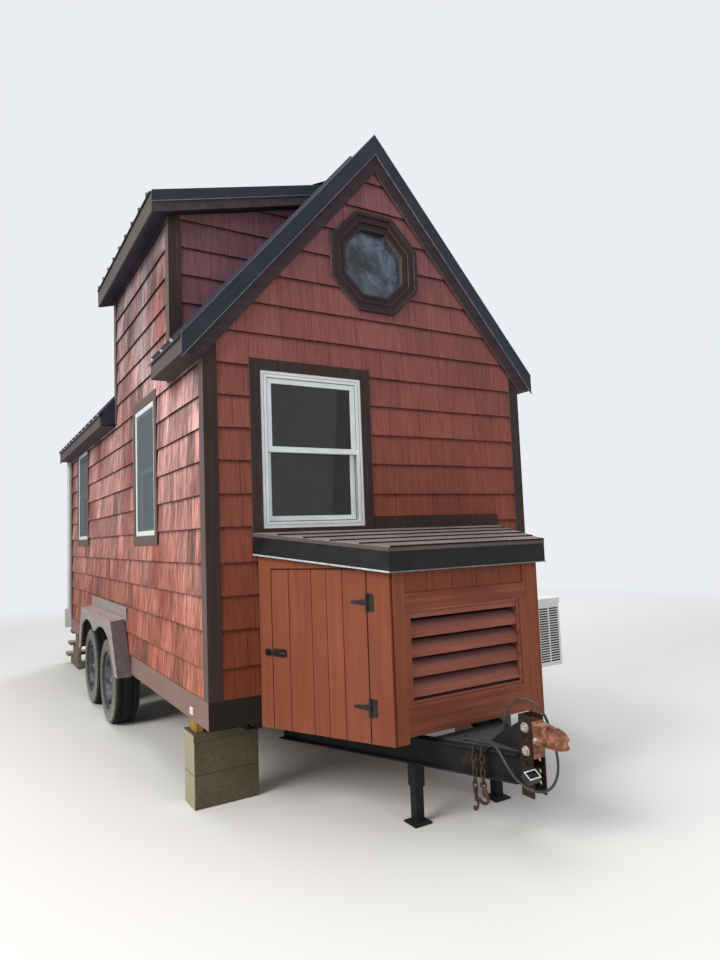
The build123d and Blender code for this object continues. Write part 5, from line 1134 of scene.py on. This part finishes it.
# Look and width of the worn edges, and the solids that have them
NODE_LOOKS = (
    ("sheathing", 0, "end_walls side_walls dormer_walls"),
    ("roof", 0, "roof_right roof_left dormer_roof"),
    ("roof", 0.001, "ridge_cap"),
    ("roof", 0.002, "rake_metal dormer_metal"),
    ("trim", 0.002, "corner_boards wall_trim octagon_window entry_frame"),
    ("trim_y", 0.002, "dormer_trim eave_boards"),
    ("rake_wood", 0.002, "rake_boards"),
    ("skirt", 0.002, "skirt_boards"),
    ("vinyl", 0.002, "front_windows side_windows"),
    ("window_pane", 0, "window_glass"),
    ("floor_wood", 0, "floor"),
    ("step", 0.003, "rear_steps"),
    ("cad_locker", 0, "box_floor"),
    ("cad_locker", 0.0015, "box_front box_door"),
    ("cad_locker", 0.002, "box_sides entry_door"),
    ("box_shingle", 0, "box_roof"),
    ("black", 0.003, "box_fascia"),
    ("slat", 0.0012, "louvre"),
    ("hardware", 0.0006, "door_hardware frame_hardware"),
    ("steel", 0, "axles wheel_wells"),
    ("steel", 0.001, "cross_members chain_plate leaf_springs ac_brackets"),
    ("steel", 0.002, "main_rails tongue_rails tongue_props"),
    ("old_steel", 0.0015, "hitch_post"),
    ("rusty_iron", 0.002, "coupler"),
    ("zinc", 0.001, "hitch_bolts"),
    ("chain", 0.0012, "safety_chains"),
    ("plastic", 0.001, "cable_fittings"),
    ("concrete", 0.006, "crib_blocks crib_caps"),
    ("shim", 0.003, "crib_shims"),
    ("fender", 0.003, "fenders"),
    ("ac", 0.002, "ac_unit"),
    ("pvc", 0.002, "corner_pipe"),
)


def paint_frame():
    """Gives each solid that stays in view its material and the width of its worn edges."""
    looks = {name: (look, edge) for look, edge, names in NODE_LOOKS for name in names.split()}
    for name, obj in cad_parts.items():
        if name.startswith("tyre"):
            look, edge = "tyre_rubber", 0.004
        elif name.startswith("rim"):
            look, edge = "rim_steel", 0.0015
        else:
            look, edge = looks.get(name, ("steel", 0))
        obj.data.materials.clear()
        obj.data.materials.append(MATERIALS[look])
        if edge:
            soften(obj, edge, weld=True)


def area_light(name, place, target, size, power, colour=(1, 1, 1)):
    """A rectangular lamp that looks at target."""
    data = bpy.data.lights.new(name, "AREA")
    data.shape = "RECTANGLE"
    data.size, data.size_y = size
    data.energy = power
    data.color = colour
    light = show(name, data)
    direction = Vector(target) - Vector(place)
    light.matrix_world = Matrix.Translation(place) @ direction.to_track_quat("-Z", "Y").to_matrix().to_4x4()
    return light


BACKDROP = (0.95, 0.97, 1.0, 1)
BACKDROP_STRENGTH = 0.88


def make_floor():
    """Pale floor that keeps the shadow near the object and melts into the background far from it."""
    half, z = 60.0, -0.001
    corners = [(-half, -half, z), (half, -half, z), (half, half, z), (-half, half, z)]
    mesh = bpy.data.meshes.new("stage_floor")
    mesh.from_pydata(corners, [], [(0, 1, 2, 3)])
    floor = show("stage_floor", mesh)
    p = Paint("stage_pale", 0.9, base=(0.74, 0.74, 0.73, 1), specular=0.1)
    away = p.add("VectorMath", {0: p.place, 1: tuple(at(0, 2.0, 0))}, operation="DISTANCE")
    far = p.add("MapRange", {"Value": away.outputs["Value"], "From Min": 5.0, "From Max": 13.0},
                interpolation_type="SMOOTHSTEP")
    glow = p.add("Emission", {"Color": BACKDROP, "Strength": BACKDROP_STRENGTH})
    seen = p.add("LightPath").outputs["Is Camera Ray"]
    share = p.maths("MULTIPLY", far.outputs["Result"], seen)
    blend = p.add("MixShader", {0: share, 1: p.shader.outputs[0], 2: glow.outputs[0]})
    p.link(blend.outputs[0], p.tree.nodes["Material Output"].inputs["Surface"])
    mesh.materials.append(p.mat)


def set_light():
    """A pale world that camera, glossy and transmission rays see at full strength, and four lamps."""
    world = bpy.data.worlds.new("studio")
    bpy.context.scene.world = world
    world.use_nodes = True
    tree = world.node_tree
    path = tree.nodes.new("ShaderNodeLightPath")
    seen = path.outputs["Is Camera Ray"]
    for ray in ("Is Glossy Ray", "Is Transmission Ray"):
        either = tree.nodes.new("ShaderNodeMath")
        either.operation = "MAXIMUM"
        tree.links.new(seen, either.inputs[0])
        tree.links.new(path.outputs[ray], either.inputs[1])
        seen = either.outputs[0]
    mix = tree.nodes.new("ShaderNodeMix")
    tree.links.new(seen, mix.inputs["Factor"])
    mix.inputs["A"].default_value = 0.42
    mix.inputs["B"].default_value = BACKDROP_STRENGTH
    back = tree.nodes["Background"]
    tree.links.new(mix.outputs["Result"], back.inputs["Strength"])
    back.inputs["Color"].default_value = BACKDROP
    bpy.context.scene.view_settings.view_transform = "Standard"
    centre = at(0, 2.5, 1.8)
    area_light("key_left", at(-9.0, -1.5, 6.5), centre, (5, 5), 980, (1.0, 0.97, 0.92))
    area_light("fill_front", at(1.5, -9.0, 4.0), centre, (6, 5), 310).visible_glossy = False
    area_light("top", at(0, 2.5, 11), centre, (8, 8), 600)
    area_light("rear_right", at(8, 8, 6), centre, (6, 6), 380)


end_siding()
side_siding()
dormer_siding()
roof_lines()
rake_top_highlight()
octagon_mouldings()
rib_end_highlights()
dress_hitch()
dress_fender()
dress_box_roof()
dress_box_fascia()
dress_box_front()
dress_hardware()
dress_wheels()
dress_windows()
window_lines()
dress_outdoor_unit()
dress_switch()
dress_lamp()
paint_frame()
make_floor()
set_light()
